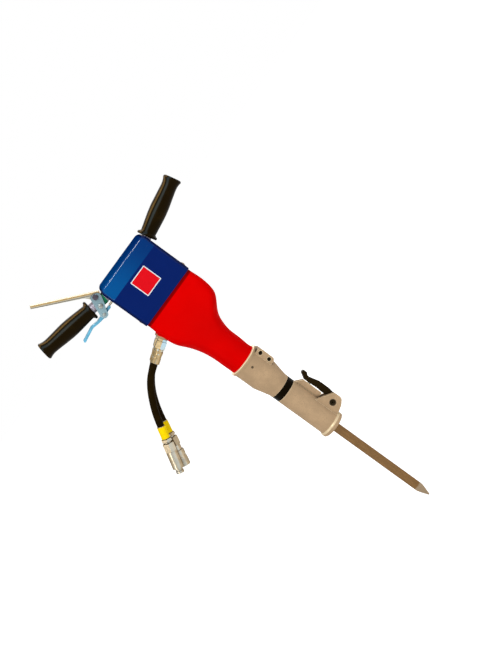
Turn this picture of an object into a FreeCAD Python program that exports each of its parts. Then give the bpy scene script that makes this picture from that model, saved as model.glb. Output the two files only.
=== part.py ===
"""Handheld hydraulic breaker with a suspended handle, as an assembly of separate pieces.

Millimetres. Z is the tool's axis, with the chisel down. X runs along the handles, with the trigger
on the left, and the front faces -Y. The origin is on the axis, level with the middle of the grips.
"""
import FreeCAD, Part
import math
import os

V = FreeCAD.Vector
X_AXIS = V(1, 0, 0)
Y_AXIS = V(0, 1, 0)
Z_AXIS = V(0, 0, 1)

# Fits and allowances
running_fit = 0.05
seat_gap = 0.3
side_gap = 0.15
overrun = 1.0
edge_break = 0.8

# Suspension of the machine in the handle
suspension_travel = 7.0

# Hood, a pressed-steel cover that is open below
hood_centre_x = 16.2
hood_width = 169.2
hood_depth = 110.0
hood_top_depth = 94.0
hood_top_z = 1.2
hood_height = 137.7
hood_crease_drop = 40.2
hood_wall = 2.0
hood_corner_radius = 16.0
hood_edge_radius = 10.0
hood_gap = 0.7

# Yoke that stiffens the hood and carries the tubes
yoke_plate = 5.0
yoke_length_y = 76.0
yoke_cheek_y = 48.0
yoke_cheek_bottom_z = -47.0

# Handle tubes and grips
handle_rise_deg = 12.1
handle_vertex_x = 5.0
handle_vertex_z = -38.6
tube_radius = 12.5
tube_wall = 3.0
left_grip_past_hood = 35.7
right_grip_past_hood = 15.4
grip_length = 151.0
grip_flange_radius = 25.2
grip_flange_width = 7.0
grip_neck_radius = 18.6
grip_belly_radius = 22.0
grip_tail_radius = 19.2
grip_rim_radius = 22.6
grip_end_wall = 5.0
sleeve_radius = 13.6
sleeve_length = 11.0

# Hood screws and the guide shoes that they hold
hood_screw_drop = 126.9
screw_shank_radius = 4.0
screw_head_radius = 6.4
screw_head_height = 2.6
shoe_thickness = 9.0
shoe_width = 20.0
shoe_above_screw = 17.0
shoe_below_screw = 5.5

# Rubber buffers between yoke and casing
buffer_radius = 9.5
buffer_waist_radius = 8.0
buffer_inset = 22.6
buffer_spread_y = 28.6

# Main casing
deck_z = -58.0
casing_full_z = -181.0
casing_swell_x = 1.5
casing_swell_y = 1.3
casing_top_corner = 12.0
casing_top_bow_deg = 1.5
neck_bow_deg = 15.0
shoulder_top_z = -190.0
shoulder_height = 124.0
neck_radius = 39.2
neck_end_radius = 38.7
neck_length = 64.0
spigot_radius = 33.0
spigot_length = 58.0
main_bore_radius = 27.0
main_bore_top_z = -110.0
gallery_radius = 5.5
gallery_inset = 16.6

# Hose ports
port_z = -187.5
port_half_spread = 24.0
port_radius = 9.0
port_depth = 34.0
boss_radius = 15.0
boss_reach = 3.0
front_port_fall_deg = 17.5
back_port_fall_deg = 21.0

# Valve block on the deck
block_left_x = -47.0
block_length = 78.0
block_width = 36.0
block_height = 32.0
block_corner = 7.0
block_screw_radius = 3.0
block_screw_head_radius = 5.0
block_screw_head = 5.0
block_screw_inset = 6.5
block_screw_length = 46.0
spool_z = -42.0
spool_radius = 8.0
spool_groove_radius = 5.0
spool_groove_length = 9.0
spool_button_radius = 5.0
spool_button_length = 5.9
spool_body_length = 50.0
spool_spring_radius = 6.0
spring_wire_radius = 0.9
spool_spring_turns = 4
spool_stroke_room = 5.8
valve_plug_head = 6.0
valve_plug_flats = 19.0
valve_plug_depth = 9.0

# Trigger: pivot, arm bolt and catch rivet places in the X-Z plane
pivot_out = 24.7
pivot_z = -24.6
arm_bolt_dx = 9.5
arm_bolt_dz = 22.7
catch_dx = -11.4
catch_dz = -19.3
pivot_pin_radius = 4.0
pivot_head_radius = 6.2
pivot_head_height = 2.2
pivot_bush_radius = 7.5
cheek_inner_y = 15.3
cheek_thickness = 3.0
arm_bolt_radius = 4.0
arm_bolt_flats = 13.0
arm_bolt_head = 5.3
arm_nut_height = 6.5
catch_rivet_radius = 2.5
catch_rivet_head_radius = 4.6
catch_rivet_head = 1.6
arm_sheet = 2.5
arm_pitch_deg = 42.3
arm_length = 165.5
arm_root_depth = 9.7
arm_tip_depth = 7.0
arm_root_dx = 23.3
arm_root_dz = 19.0
catch_half_width = 10.0
catch_thickness = 6.4
catch_lever = 81.0
catch_hub_radius = 4.5
plunger_z = -41.8
plunger_radius = 3.0
plunger_out = 11.3
plunger_pad_thickness = 4.0
plunger_pad_width = 12.0
plunger_pad_above = 16.0
plunger_pad_below = 3.4
pad_wall_gap = 3.0

# Accumulator
accumulator_inset = 42.8
accumulator_radius = 22.0
accumulator_depth = 66.0
diaphragm_wall = 3.0
accumulator_cover_depth = 16.0
accumulator_rim_radius = 19.0
accumulator_rim_height = 6.0
accumulator_recess_flats = 12.0

# Percussion parts on the tool's axis
reversing_sleeve_length = 40.0
reversing_sleeve_bore = 19.0
reversing_valve_length = 24.0
reversing_valve_bore = 13.9
reversing_travel = 4.0
reversing_shoulder = 8.0
liner_bore_radius = 18.0
liner_lower_guide_radius = 15.1
liner_lower_guide = 36.0
liner_upper_guide_radius = 13.2
liner_upper_guide = 84.0
liner_flange_radius = 31.0
liner_flange_height = 10.0
oring_radius = 1.2
piston_bottom_rise = 38.0
piston_length = 247.0
piston_stem_below = 62.0
piston_land = 24.0
piston_land_gap = 26.0
piston_waist_radius = 15.4
piston_stroke = 45.0

# Front head, clamped on the casing's spigot
rim_radius = 43.9
rim_height = 12.0
head_radius = 41.3
head_straight_length = 64.0
head_taper_length = 42.0
nose_radius = 31.9
band_top_rise = 8.4
band_height = 17.7
band_seat_radius = 29.6
head_length = 122.0
head_chamber_radius = 20.0
rod_seal_height = 7.0
rod_seal_outer_radius = 21.5
clamp_boss_left_x = 27.0
clamp_boss_right_x = 47.4
clamp_boss_half_y = 29.0
clamp_boss_top_drop = 10.0
clamp_boss_height = 49.0
clamp_boss_corner = 8.5
clamp_slit = 3.0
clamp_screw_x = 38.2
clamp_screw_top_drop = 10.5
clamp_screw_pitch = 26.0
clamp_screw_radius = 3.0
clamp_head_radius = 5.0
clamp_head_height = 6.0
clamp_recess_depth = 10.0
clamp_key_flats = 5.0

# Latch housing
housing_length = 158.5
joint_spigot_radius = 26.0
joint_spigot_length = 9.0
bushing_radius = 23.0
bushing_top_drop = 10.5
bushing_length = 36.0
tool_chamber_radius = 20.5
bead_radius = 35.3
bead_height = 17.0
bushing_pin_radius = 4.0
bushing_pin_drop = 30.0
bushing_pin_y = 24.5
rail_half_width = 8.0
rail_face_x = 47.3
rail_top_drop = 13.0
rail_slope_height = 15.0
rail_above_latch = 33.8
ear_inner_y = 8.5
ear_outer_y = 20.0
latch_x = 43.8
latch_rise = 41.7
latch_pin_radius = 6.0
latch_pin_recess = 3.0
latch_recess_radius = 8.2
latch_half_width = 7.5
latch_hub_radius = 13.0
latch_nose_from_deg = -22.0
latch_nose_to_deg = 34.0
latch_nose_gap = 0.45
detent_radius = 4.0
detent_depth = 9.0
detent_drop = 45.0

# Chisel with a hexagon shank
shank_flats = 22.0
shank_length = 82.5
collar_above_latch = 39.8
collar_height = 25.0
collar_radius = 18.0
chisel_reach = 300.5
chisel_point_length = 40.0
chisel_tip_width = 3.0
bushing_hex_gap = 0.2
tool_lift = 30.0

# Hose fittings, measured along each port's own axis
adapter_flats = 22.0
adapter_length = 7.0
adapter_stem_radius = 8.6
swivel_flats = 24.0
swivel_length = 19.0
swivel_collar_radius = 10.8
swivel_collar_length = 5.0
ferrule_radius = 11.6
ferrule_length = 31.0
ferrule_crimp_depth = 0.7
hose_radius = 8.7
end_ferrule_radius = 9.6
end_ferrule_length = 33.0
tag_thickness = 0.6
tag_end_gap = 1.5

# Couplings at the hose ends
coupling_collar_radius = 12.0
coupling_collar_length = 7.0
coupling_neck_radius = 9.5
coupling_neck_length = 4.0
coupling_flats = 27.0
coupling_hex_length = 22.0
female_barrel_radius = 12.0
female_barrel_length = 55.0
female_bore_radius = 10.0
female_bore_depth = 20.0
female_sleeve_radius = 15.0
female_sleeve_length = 41.0
female_sleeve_travel = 6.0
female_face_radius = 6.0
female_face_groove_width = 1.4
female_face_groove_depth = 2.0
male_nose_radius = 9.85
male_nose_length = 13.5
male_flange_radius = 13.8
male_flange_length = 44.0
male_groove_depth = 1.4
male_groove_width = 4.0
male_groove_back = 6.0
coupling_face_dish = 1.0

# Routes of the two hoses: points from the ferrule's end to the lower ferrule, chosen by hand
front_hose_route = [
    (-129.5, -24.0, -207.0), (-148.5, -24.0, -213.0), (-169.5, -23.5, -224.5), (-191.0, -23.0, -242.5),
    (-214.0, -22.0, -267.5), (-232.0, -21.0, -291.5), (-242.5, -20.5, -309.0),
]
back_hose_route = [
    (-128.0, 24.0, -211.0), (-147.0, 24.0, -218.0), (-169.0, 23.5, -232.0), (-191.0, 23.0, -252.0),
    (-210.5, 22.0, -277.0), (-224.5, 21.0, -299.5), (-232.0, 20.5, -313.5),
]

# Places that follow from the sizes above
hood_half = hood_width / 2
hood_left_x = hood_centre_x - hood_half
hood_right_x = hood_centre_x + hood_half
left_grip_start = hood_half + left_grip_past_hood
right_grip_start = hood_half + right_grip_past_hood
buffer_spread_x = hood_half - buffer_inset
gallery_length = hood_half - gallery_inset
pivot_x = hood_left_x - pivot_out
plunger_tip_x = hood_left_x - plunger_out
accumulator_x = hood_right_x - accumulator_inset
hood_bottom_z = hood_top_z - hood_height
hood_crease_z = hood_top_z - hood_crease_drop
hood_screw_z = hood_top_z - hood_screw_drop
yoke_top_z = hood_top_z - hood_wall
yoke_under_z = yoke_top_z - yoke_plate
buffer_height = yoke_under_z - deck_z
casing_upper_half = hood_half - hood_wall - hood_gap
casing_upper_depth = hood_depth / 2 - hood_wall - hood_gap
neck_top_z = shoulder_top_z - shoulder_height
neck_end_z = neck_top_z - neck_length
head_straight_z = neck_end_z - head_straight_length
head_taper_z = head_straight_z - head_taper_length
head_joint_z = neck_end_z - head_length
clamp_boss_top_z = neck_end_z - clamp_boss_top_drop
band_top_z = head_joint_z + band_top_rise
housing_bottom_z = head_joint_z - housing_length
bushing_top_z = head_joint_z - bushing_top_drop
bushing_pin_z = head_joint_z - bushing_pin_drop
rail_top_z = head_joint_z - rail_top_drop
latch_z = housing_bottom_z + latch_rise
rail_bottom_z = latch_z + rail_above_latch
detent_z = head_joint_z - detent_drop
collar_top_z = latch_z + collar_above_latch
chisel_tip_z = housing_bottom_z - chisel_reach
piston_bottom_z = head_joint_z + piston_bottom_rise
spigot_end_z = neck_end_z - spigot_length
arm_bolt_x = pivot_x + arm_bolt_dx
arm_bolt_z = pivot_z + arm_bolt_dz
catch_x = pivot_x + catch_dx
catch_z = pivot_z + catch_dz
cheek_outer_y = cheek_inner_y + cheek_thickness
collar_bottom_z = collar_top_z - collar_height
shank_top_z = collar_top_z + shank_length
reversing_top_z = main_bore_top_z - seat_gap
liner_top_z = reversing_top_z - reversing_sleeve_length - seat_gap
piston_top_z = piston_bottom_z + piston_length
band_bottom_z = band_top_z - band_height
latch_nose_radius = math.hypot(latch_x - collar_radius, collar_bottom_z - latch_z) - latch_nose_gap
plunger_pad_x = hood_left_x + hood_wall + yoke_plate + pad_wall_gap
spool_tip_x = plunger_pad_x + plunger_pad_thickness + seat_gap
fitting_length = adapter_length + swivel_length + swivel_collar_length + ferrule_length


def rounded_wire(corners, radii):
    """Closed wire through corner points, each rounded by a tangent arc of its own radius."""
    count = len(corners)
    starts, mids, ends = [], [], []
    for i, corner in enumerate(corners):
        to_last = corners[i - 1] - corner
        to_next = corners[(i + 1) % count] - corner
        shorter = min(to_last.Length, to_next.Length)
        to_last.normalize()
        to_next.normalize()
        half_turn = to_last.getAngle(to_next) / 2
        reach = min(radii[i] / math.tan(half_turn), shorter * 0.49)
        radius = reach * math.tan(half_turn)
        inward = to_last + to_next
        if radius == 0 or inward.Length == 0:
            starts.append(corner)
            mids.append(None)
            ends.append(corner)
            continue
        inward.normalize()
        centre = corner + inward * (radius / math.sin(half_turn))
        starts.append(corner + to_last * reach)
        mids.append(centre - inward * radius)
        ends.append(corner + to_next * reach)
    edges = []
    for i in range(count):
        if mids[i] is not None:
            edges.append(Part.Arc(starts[i], mids[i], ends[i]).toShape())
        after = starts[(i + 1) % count]
        if (after - ends[i]).Length > 0:
            edges.append(Part.LineSegment(ends[i], after).toShape())
    return Part.Wire(edges)


def plate(outline, thickness, low_y):
    """Flat plate across Y from an outline of (x, z, corner radius)."""
    corners = [V(x, low_y, z) for x, z, radius in outline]
    face = Part.Face(rounded_wire(corners, [radius for x, z, radius in outline]))
    return face.extrude(V(0, thickness, 0))


def middle_plate(outline, half_width):
    return plate(outline, 2 * half_width, -half_width)


def turned(profile):
    """Solid turned about Z from an outline of (radius, height, corner radius)."""
    corners = [V(r, 0, h) for r, h, radius in profile]
    face = Part.Face(rounded_wire(corners, [radius for r, h, radius in profile]))
    return face.revolve(V(0, 0, 0), Z_AXIS, 360)


def aimed(shape, base, direction):
    """Moves a shape made along +Z from the origin so that it starts at base and points along direction."""
    placed = shape.copy()
    placed.Placement = FreeCAD.Placement(base, FreeCAD.Rotation(Z_AXIS, direction)) * placed.Placement
    return placed


def tube(outer, inner, length):
    return Part.makeCylinder(outer, length).cut(Part.makeCylinder(inner, length))


def ring_between(outer, inner, low_z, high_z):
    ring = tube(outer, inner, high_z - low_z)
    ring.translate(V(0, 0, low_z))
    return ring


def hexagon(flats, length):
    """Hexagon bar along +Z, with flats facing X."""
    corner = flats / math.sqrt(3)
    points = [V(corner * math.sin(math.radians(60 * i)), corner * math.cos(math.radians(60 * i)), 0)
              for i in range(7)]
    return Part.Face(Part.makePolygon(points)).extrude(V(0, 0, length))


def chamfered_hexagon(flats, length):
    """Hexagon nut blank whose corners are broken at both ends by a cone."""
    corner = flats / math.sqrt(3)
    drop = (corner - flats / 2) * math.tan(math.radians(30))
    inner = flats / 2
    blank = turned([(0, 0, 0), (inner, 0, 0), (corner, drop, 0), (corner, length - drop, 0),
                    (inner, length, 0), (0, length, 0)])
    return hexagon(flats, length).common(blank)


def box(x0, x1, y0, y1, z0, z1):
    return Part.makeBox(x1 - x0, y1 - y0, z1 - z0, V(x0, y0, z0))


def fused(shapes):
    whole = shapes[0]
    for shape in shapes[1:]:
        whole = whole.fuse(shape)
    return whole.removeSplitter()


def section(left, right, half_depth, corner, bow_deg, z):
    """Oval of eight tangent arcs across the tool's axis: four slightly bowed sides and four corners."""
    middle = (left + right) / 2
    wide = (right - left) / 2 - corner
    deep = half_depth - corner
    bow = math.radians(bow_deg)
    sine = math.sin(bow)
    rise = 1 - math.cos(bow)
    share = sine ** 2 - rise ** 2
    side_reach = (deep * sine - wide * rise) / share
    face_reach = (wide * sine - deep * rise) / share
    corner_x = face_reach * sine
    corner_y = side_reach * sine

    def place(x, y):
        return V(middle + x, y, z)

    side = [place(corner_x + corner * math.cos(bow), -corner_y - corner * sine), place(wide + corner, 0),
            place(corner_x + corner * math.cos(bow), corner_y + corner * sine)]
    face = [place(corner_x + corner * sine, corner_y + corner * math.cos(bow)), place(0, half_depth),
            place(-corner_x - corner * sine, corner_y + corner * math.cos(bow))]
    far_side = [V(2 * middle - p.x, p.y, z) for p in reversed(side)]
    far_face = [V(p.x, -p.y, z) for p in reversed(face)]
    half = corner / math.sqrt(2)
    turns = [place(corner_x + half, corner_y + half), place(-corner_x - half, corner_y + half),
             place(-corner_x - half, -corner_y - half), place(corner_x + half, -corner_y - half)]
    arcs = [side, face, far_side, far_face]
    edges = []
    for i, arc in enumerate(arcs):
        edges.append(Part.Arc(*arc).toShape())
        edges.append(Part.Arc(arc[2], turns[i], arcs[(i + 1) % 4][0]).toShape())
    return Part.Wire(edges)


def biarc(start, leaving, end, arriving):
    """Two arcs that join a start to an end and are tangent to both given unit directions."""
    chord = end - start
    bend = 2 - 2 * leaving.dot(arriving)
    along = chord.dot(leaving + arriving)
    reach = (math.sqrt(along * along + bend * chord.dot(chord)) - along) / bend
    corners = (start + leaving * reach, end - arriving * reach)
    middle = (corners[0] + corners[1]) / 2
    arcs = []
    for first, corner, last in ((start, corners[0], middle), (middle, corners[1], end)):
        half = (last - first).Length / (2 * reach)
        crest = (first + last) / 2
        arcs.append(Part.Arc(first, crest + (corner - crest) * (half / (1 + half)), last).toShape())
    return arcs


def coil(radius, wire, height, turns):
    """Compression spring of round wire, along a helix of two arcs to each quarter turn."""
    rise = (height - 2 * wire) / (4 * turns)
    places = []
    for i in range(4 * turns + 1):
        turn = math.radians(90 * i)
        out = V(math.cos(turn), math.sin(turn), 0)
        heading = V(0, 0, rise) + Z_AXIS.cross(out) * (radius * math.pi / 2)
        places.append((out * radius + V(0, 0, wire + rise * i), heading.normalize()))
    path = []
    for first, last in zip(places, places[1:]):
        path += biarc(*first, *last)
    profile = Part.Wire(Part.makeCircle(wire, *places[0]))
    return Part.Wire(path).makePipeShell([profile], True, False)


def hood_form(inset):
    """Hood's outside, or its inside when inset by the wall."""
    half = hood_half - inset
    deep = hood_depth / 2 - inset
    top = hood_top_z - inset
    top_deep = hood_top_depth / 2 - inset
    low = hood_bottom_z - (overrun if inset else 0)
    side = [V(hood_centre_x - half, -deep, low), V(hood_centre_x - half, deep, low),
            V(hood_centre_x - half, deep, hood_crease_z), V(hood_centre_x - half, top_deep, top),
            V(hood_centre_x - half, -top_deep, top), V(hood_centre_x - half, -deep, hood_crease_z)]
    body = Part.Face(Part.makePolygon(side + side[:1])).extrude(V(2 * half, 0, 0))
    crowns = [edge for edge in body.Edges
              if abs(edge.CenterOfMass.z - top) < seat_gap and abs(edge.CenterOfMass.y) < seat_gap]
    body = body.makeFillet(hood_corner_radius - inset, crowns)
    rims = []
    for edge in body.Edges:
        centre = edge.CenterOfMass
        across = edge.BoundBox.XLength
        runs_down = abs(abs(centre.x - hood_centre_x) - half) < seat_gap and edge.BoundBox.YLength < deep
        on_top = centre.z > hood_crease_z + seat_gap and abs(centre.y) > top_deep / 2 and across > seat_gap
        if (runs_down and edge.BoundBox.ZLength > seat_gap) or on_top:
            rims.append(edge)
    return body.makeFillet(hood_edge_radius - inset, rims)


def handle_direction(side):
    """Unit vector up along a handle tube, side being -1 on the left and 1 on the right."""
    rise = math.radians(handle_rise_deg)
    return V(side * math.cos(rise), 0, math.sin(rise))


def tube_centre_z(x):
    return handle_vertex_z + abs(x - handle_vertex_x) * math.tan(math.radians(handle_rise_deg))


def handle_vertex():
    return V(handle_vertex_x, 0, handle_vertex_z)


def tube_hole(side, radius):
    """Long cylinder along a handle tube, from well inside the hood outwards."""
    start = handle_vertex() + handle_direction(side) * buffer_spread_y
    return Part.makeCylinder(radius, hood_width, start, handle_direction(side))


def hood():
    shell = hood_form(0).cut(hood_form(hood_wall))
    for side in (-1, 1):
        shell = shell.cut(tube_hole(side, tube_radius + side_gap))
    screw_hole = Part.makeCylinder(screw_shank_radius + side_gap, hood_width + 2 * overrun,
                                   V(hood_left_x - overrun, 0, hood_screw_z), X_AXIS)
    plunger_hole = Part.makeCylinder(plunger_radius + seat_gap, hood_wall + 2 * overrun,
                                     V(hood_left_x - overrun, 0, plunger_z), X_AXIS)
    return shell.cut(screw_hole).cut(plunger_hole)


def handle_yoke():
    """Bent inner bracket: a top plate under the hood with a cheek on each side for the tubes."""
    left = hood_left_x + hood_wall
    right = hood_right_x - hood_wall
    top = box(left + hood_corner_radius, right - hood_corner_radius, -yoke_length_y / 2, yoke_length_y / 2,
              yoke_under_z, yoke_top_z)
    bend_outer = hood_corner_radius - hood_wall
    bend_inner = bend_outer - yoke_plate
    outline = [(left, yoke_cheek_bottom_z, 0), (left, yoke_top_z, bend_outer),
               (right, yoke_top_z, bend_outer), (right, yoke_cheek_bottom_z, 0),
               (right - yoke_plate, yoke_cheek_bottom_z, 0), (right - yoke_plate, yoke_under_z, bend_inner),
               (left + yoke_plate, yoke_under_z, bend_inner), (left + yoke_plate, yoke_cheek_bottom_z, 0)]
    yoke = fused([middle_plate(outline, yoke_cheek_y / 2), top])
    for side in (-1, 1):
        yoke = yoke.cut(tube_hole(side, tube_radius + side_gap))
    plunger_hole = Part.makeCylinder(plunger_radius + running_fit, yoke_plate + 2 * overrun,
                                     V(left - overrun, 0, plunger_z), X_AXIS)
    return yoke.cut(plunger_hole)


def handle_tube(side):
    grip_start = left_grip_start if side < 0 else right_grip_start
    end = grip_start + grip_length - grip_end_wall - side_gap
    bar = Part.makeCylinder(tube_radius, end, handle_vertex(), handle_direction(side))
    bar = bar.cut(Part.makeCylinder(tube_radius - tube_wall, end, handle_vertex(), handle_direction(side)))
    inner_x = hood_half - hood_wall - yoke_plate
    keep_from = hood_centre_x + side * inner_x
    far = keep_from + side * (hood_width + grip_length)
    bar = bar.common(box(min(keep_from, far), max(keep_from, far), -hood_depth, hood_depth,
                         -hood_height, hood_height))
    if side < 0:
        bar = bar.cut(cross_bore(pivot_x, pivot_z, pivot_pin_radius + side_gap / 3))
    return bar


def grip(side):
    """Soft rubber grip: flange, drawn-in neck, swelling belly and flared closed end."""
    bore = tube_radius + running_fit
    flange = grip_flange_width
    length = grip_length
    bead = flange / 2
    outer = [V(bore, 0, 0), V(grip_flange_radius - bead, 0, 0)]
    edges = [Part.LineSegment(outer[0], outer[1]).toShape()]
    tip = V(grip_flange_radius, 0, bead)
    after_flange = V(grip_flange_radius - bead, 0, flange)
    edges.append(Part.Arc(outer[1], tip, after_flange).toShape())
    neck_start = V(grip_neck_radius, 0, flange + flange / 2)
    edges.append(Part.LineSegment(after_flange, neck_start).toShape())
    flare_shares = (0.45, 0.80, 0.88, 0.97)
    curve = Part.BSplineCurve()
    curve.interpolate([neck_start,
                       V((grip_neck_radius + grip_belly_radius) / 2, 0, length * flare_shares[0] / 2),
                       V(grip_belly_radius, 0, length * flare_shares[0]),
                       V(grip_tail_radius, 0, length * flare_shares[1]),
                       V(grip_tail_radius, 0, length * flare_shares[2]),
                       V(grip_rim_radius, 0, length * flare_shares[3])])
    edges.append(curve.toShape())
    rim = V(grip_rim_radius, 0, length * flare_shares[3])
    rim_drop = length - rim.z
    face_edge = V(grip_rim_radius - rim_drop, 0, length)
    bulge = V(grip_rim_radius - rim_drop * 0.29, 0, length - rim_drop * 0.29)
    edges.append(Part.Arc(rim, bulge, face_edge).toShape())
    path = [face_edge, V(0, 0, length), V(0, 0, length - grip_end_wall),
            V(bore, 0, length - grip_end_wall), V(bore, 0, 0)]
    for a, b in zip(path, path[1:]):
        edges.append(Part.LineSegment(a, b).toShape())
    solid = Part.Face(Part.Wire(edges)).revolve(V(0, 0, 0), Z_AXIS, 360)
    start = left_grip_start if side < 0 else right_grip_start
    return aimed(solid, handle_vertex() + handle_direction(side) * start, handle_direction(side))


def tube_sleeve():
    """Plastic sleeve on the left tube, between the hood and the trigger's cheeks."""
    direction = handle_direction(-1)
    rise = math.radians(handle_rise_deg)
    start = (handle_vertex_x - hood_left_x + tube_radius * math.sin(rise) + seat_gap) / math.cos(rise)
    sleeve = tube(sleeve_radius, tube_radius + running_fit, sleeve_length)
    return aimed(sleeve, handle_vertex() + direction * start, direction)


def guide_shoes():
    """Two slide shoes inside the hood, held by the hood screws, which run in the casing's grooves."""
    shoes = []
    for side in (-1, 1):
        wall_x = hood_centre_x + side * (hood_half - hood_wall)
        face_x = wall_x - side * shoe_thickness
        shoe = box(min(wall_x, face_x), max(wall_x, face_x), -shoe_width / 2, shoe_width / 2,
                   hood_screw_z - shoe_below_screw, hood_screw_z + shoe_above_screw)
        bore = Part.makeCylinder(screw_shank_radius + running_fit, shoe_thickness - overrun,
                                 V(wall_x, 0, hood_screw_z), X_AXIS * -side)
        shoes.append(shoe.cut(bore))
    return Part.makeCompound(shoes)


def hood_screws():
    screws = []
    length = hood_wall + shoe_thickness - 2 * overrun
    crown = screw_head_radius * 0.35
    profile = [(0, -length, 0), (screw_shank_radius, -length, edge_break), (screw_shank_radius, 0, 0),
               (screw_head_radius, 0, 0), (screw_head_radius, edge_break, edge_break / 2),
               (crown, screw_head_height, crown / 2), (0, screw_head_height, 0)]
    key = hexagon(screw_shank_radius, screw_head_height)
    key.translate(V(0, 0, screw_head_height / 2))
    screw = turned(profile).cut(key)
    for side in (-1, 1):
        face_x = hood_centre_x + side * hood_half
        screws.append(aimed(screw, V(face_x, 0, hood_screw_z), X_AXIS * side))
    return Part.makeCompound(screws)


def buffer_places():
    return [(hood_centre_x + sx * buffer_spread_x, sy * buffer_spread_y) for sx in (-1, 1) for sy in (-1, 1)]


def damper_buffers():
    """Four rubber buffers, drawn in at the waist."""
    height = buffer_height - 2 * side_gap
    middle = V(buffer_waist_radius, 0, height / 2)
    side = Part.Arc(V(buffer_radius, 0, 0), middle, V(buffer_radius, 0, height)).toShape()
    lines = [Part.LineSegment(V(0, 0, 0), V(buffer_radius, 0, 0)).toShape(), side,
             Part.LineSegment(V(buffer_radius, 0, height), V(0, 0, height)).toShape(),
             Part.LineSegment(V(0, 0, height), V(0, 0, 0)).toShape()]
    block = Part.Face(Part.Wire(lines)).revolve(V(0, 0, 0), Z_AXIS, 360)
    blocks = []
    for x, y in buffer_places():
        one = block.copy()
        one.translate(V(x, y, deck_z + side_gap))
        blocks.append(one)
    return Part.makeCompound(blocks)


def port_direction(place):
    fall = math.radians(front_port_fall_deg if place < 0 else back_port_fall_deg)
    return V(-math.cos(fall), 0, -math.sin(fall))


def port_start(place):
    """Seat face of a port, place being -1 for the front one and 1 for the back one."""
    left = hood_centre_x - casing_upper_half - casing_swell_x
    return V(left, place * port_half_spread, port_z) + port_direction(place) * boss_reach


def casing_section(fall_share, left_share, right_share, depth_share, round_share, bow_deg):
    """One section of the shoulder, between the full body and the round neck."""
    left_full = casing_upper_half + casing_swell_x - hood_centre_x
    right_full = casing_upper_half + casing_swell_x + hood_centre_x
    depth_full = casing_upper_depth + casing_swell_y
    left = neck_radius + (left_full - neck_radius) * left_share
    right = neck_radius + (right_full - neck_radius) * right_share
    depth = neck_radius + (depth_full - neck_radius) * depth_share
    corner = min(depth, (left + right) / 2) * round_share
    return section(-left, right, depth, corner, bow_deg, shoulder_top_z - shoulder_height * fall_share)


def casing_outside():
    left = hood_centre_x - casing_upper_half
    right = hood_centre_x + casing_upper_half
    upper_end = hood_bottom_z - suspension_travel - seat_gap
    upper = Part.makeLoft([section(left, right, casing_upper_depth, casing_top_corner, casing_top_bow_deg, z)
                           for z in (deck_z, upper_end)], True, True)
    wide = (hood_centre_x - casing_upper_half - casing_swell_x,
            hood_centre_x + casing_upper_half + casing_swell_x)
    shoulder_shares = [
        (0.14, 0.985, 0.955, 0.975, 0.36, 2.5), (0.29, 0.87, 0.84, 0.87, 0.48, 4.0),
        (0.43, 0.64, 0.585, 0.64, 0.62, 6.0), (0.58, 0.39, 0.30, 0.38, 0.78, 9.0),
        (0.74, 0.19, 0.13, 0.18, 0.90, 12.0), (0.88, 0.07, 0.045, 0.07, 0.97, 14.0),
        (1.0, 0.015, 0.01, 0.015, 0.99, 15.0),
    ]
    wires = [section(left, right, casing_upper_depth, casing_top_corner, casing_top_bow_deg, upper_end),
             section(left - casing_swell_x * 0.7, right + casing_swell_x * 0.7,
                     casing_upper_depth + casing_swell_y * 0.7, casing_top_corner, casing_top_bow_deg,
                     (upper_end + casing_full_z) / 2),
             section(wide[0], wide[1], casing_upper_depth + casing_swell_y, casing_top_corner * 1.15,
                     casing_top_bow_deg, casing_full_z)]
    wires += [casing_section(*shares) for shares in shoulder_shares]
    middle_z = (neck_top_z + neck_end_z) / 2
    for z, radius in ((middle_z, (neck_radius + neck_end_radius) / 2), (neck_end_z, neck_end_radius)):
        wires.append(section(-radius, radius, radius, radius, neck_bow_deg, z))
    lower = Part.makeLoft(wires, True, False)
    return upper.fuse(lower)


def main_casing():
    """Cast body: boxy above, drawn in over an uneven shoulder to a round neck and a clamping spigot."""
    body = casing_outside()
    body = body.fuse(Part.makeCylinder(spigot_radius, spigot_length, V(0, 0, spigot_end_z)))
    for place in (-1, 1):
        start = port_start(place)
        boss = Part.makeCylinder(boss_radius, port_depth, start, port_direction(place) * -1)
        spot_face = Part.makeCylinder(boss_radius, port_depth, start, port_direction(place))
        body = body.fuse(boss).cut(spot_face)
    body = body.cut(Part.makeCylinder(main_bore_radius, main_bore_top_z - spigot_end_z + overrun,
                                      V(0, 0, spigot_end_z - overrun)))
    body = body.cut(Part.makeCylinder(accumulator_radius, accumulator_depth + overrun,
                                      V(accumulator_x, 0, deck_z - accumulator_depth)))
    for side in (-1, 1):
        groove_x = hood_centre_x + side * (hood_half - hood_wall - shoe_thickness - seat_gap)
        far_x = groove_x + side * (shoe_thickness + hood_wall + hood_gap)
        groove = box(min(groove_x, far_x), max(groove_x, far_x), -shoe_width / 2 - seat_gap,
                     shoe_width / 2 + seat_gap,
                     hood_screw_z - shoe_below_screw - suspension_travel - seat_gap,
                     hood_screw_z + shoe_above_screw + seat_gap)
        body = body.cut(groove)
    for place in (-1, 1):
        start = port_start(place)
        inward = port_direction(place) * -1
        body = body.cut(Part.makeCylinder(port_radius, port_depth, start, inward))
        body = body.cut(Part.makeCylinder(gallery_radius, gallery_length, start, inward))
        end = start + inward * (gallery_length - gallery_radius)
        rise = main_bore_top_z - end.z + gallery_radius
        body = body.cut(Part.makeCylinder(gallery_radius, rise, end))
    block_middle = block_left_x + block_length / 2
    for x, y in block_screw_places():
        body = body.cut(Part.makeCylinder(block_screw_radius + running_fit, block_screw_length,
                                          V(x, y, deck_z - block_screw_length + block_height
                                            - block_screw_head - overrun)))
    body = body.cut(Part.makeCylinder(gallery_radius, deck_z - main_bore_top_z + 2 * overrun,
                                      V(block_middle, 0, main_bore_top_z - overrun)))
    return body.removeSplitter()


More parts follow.
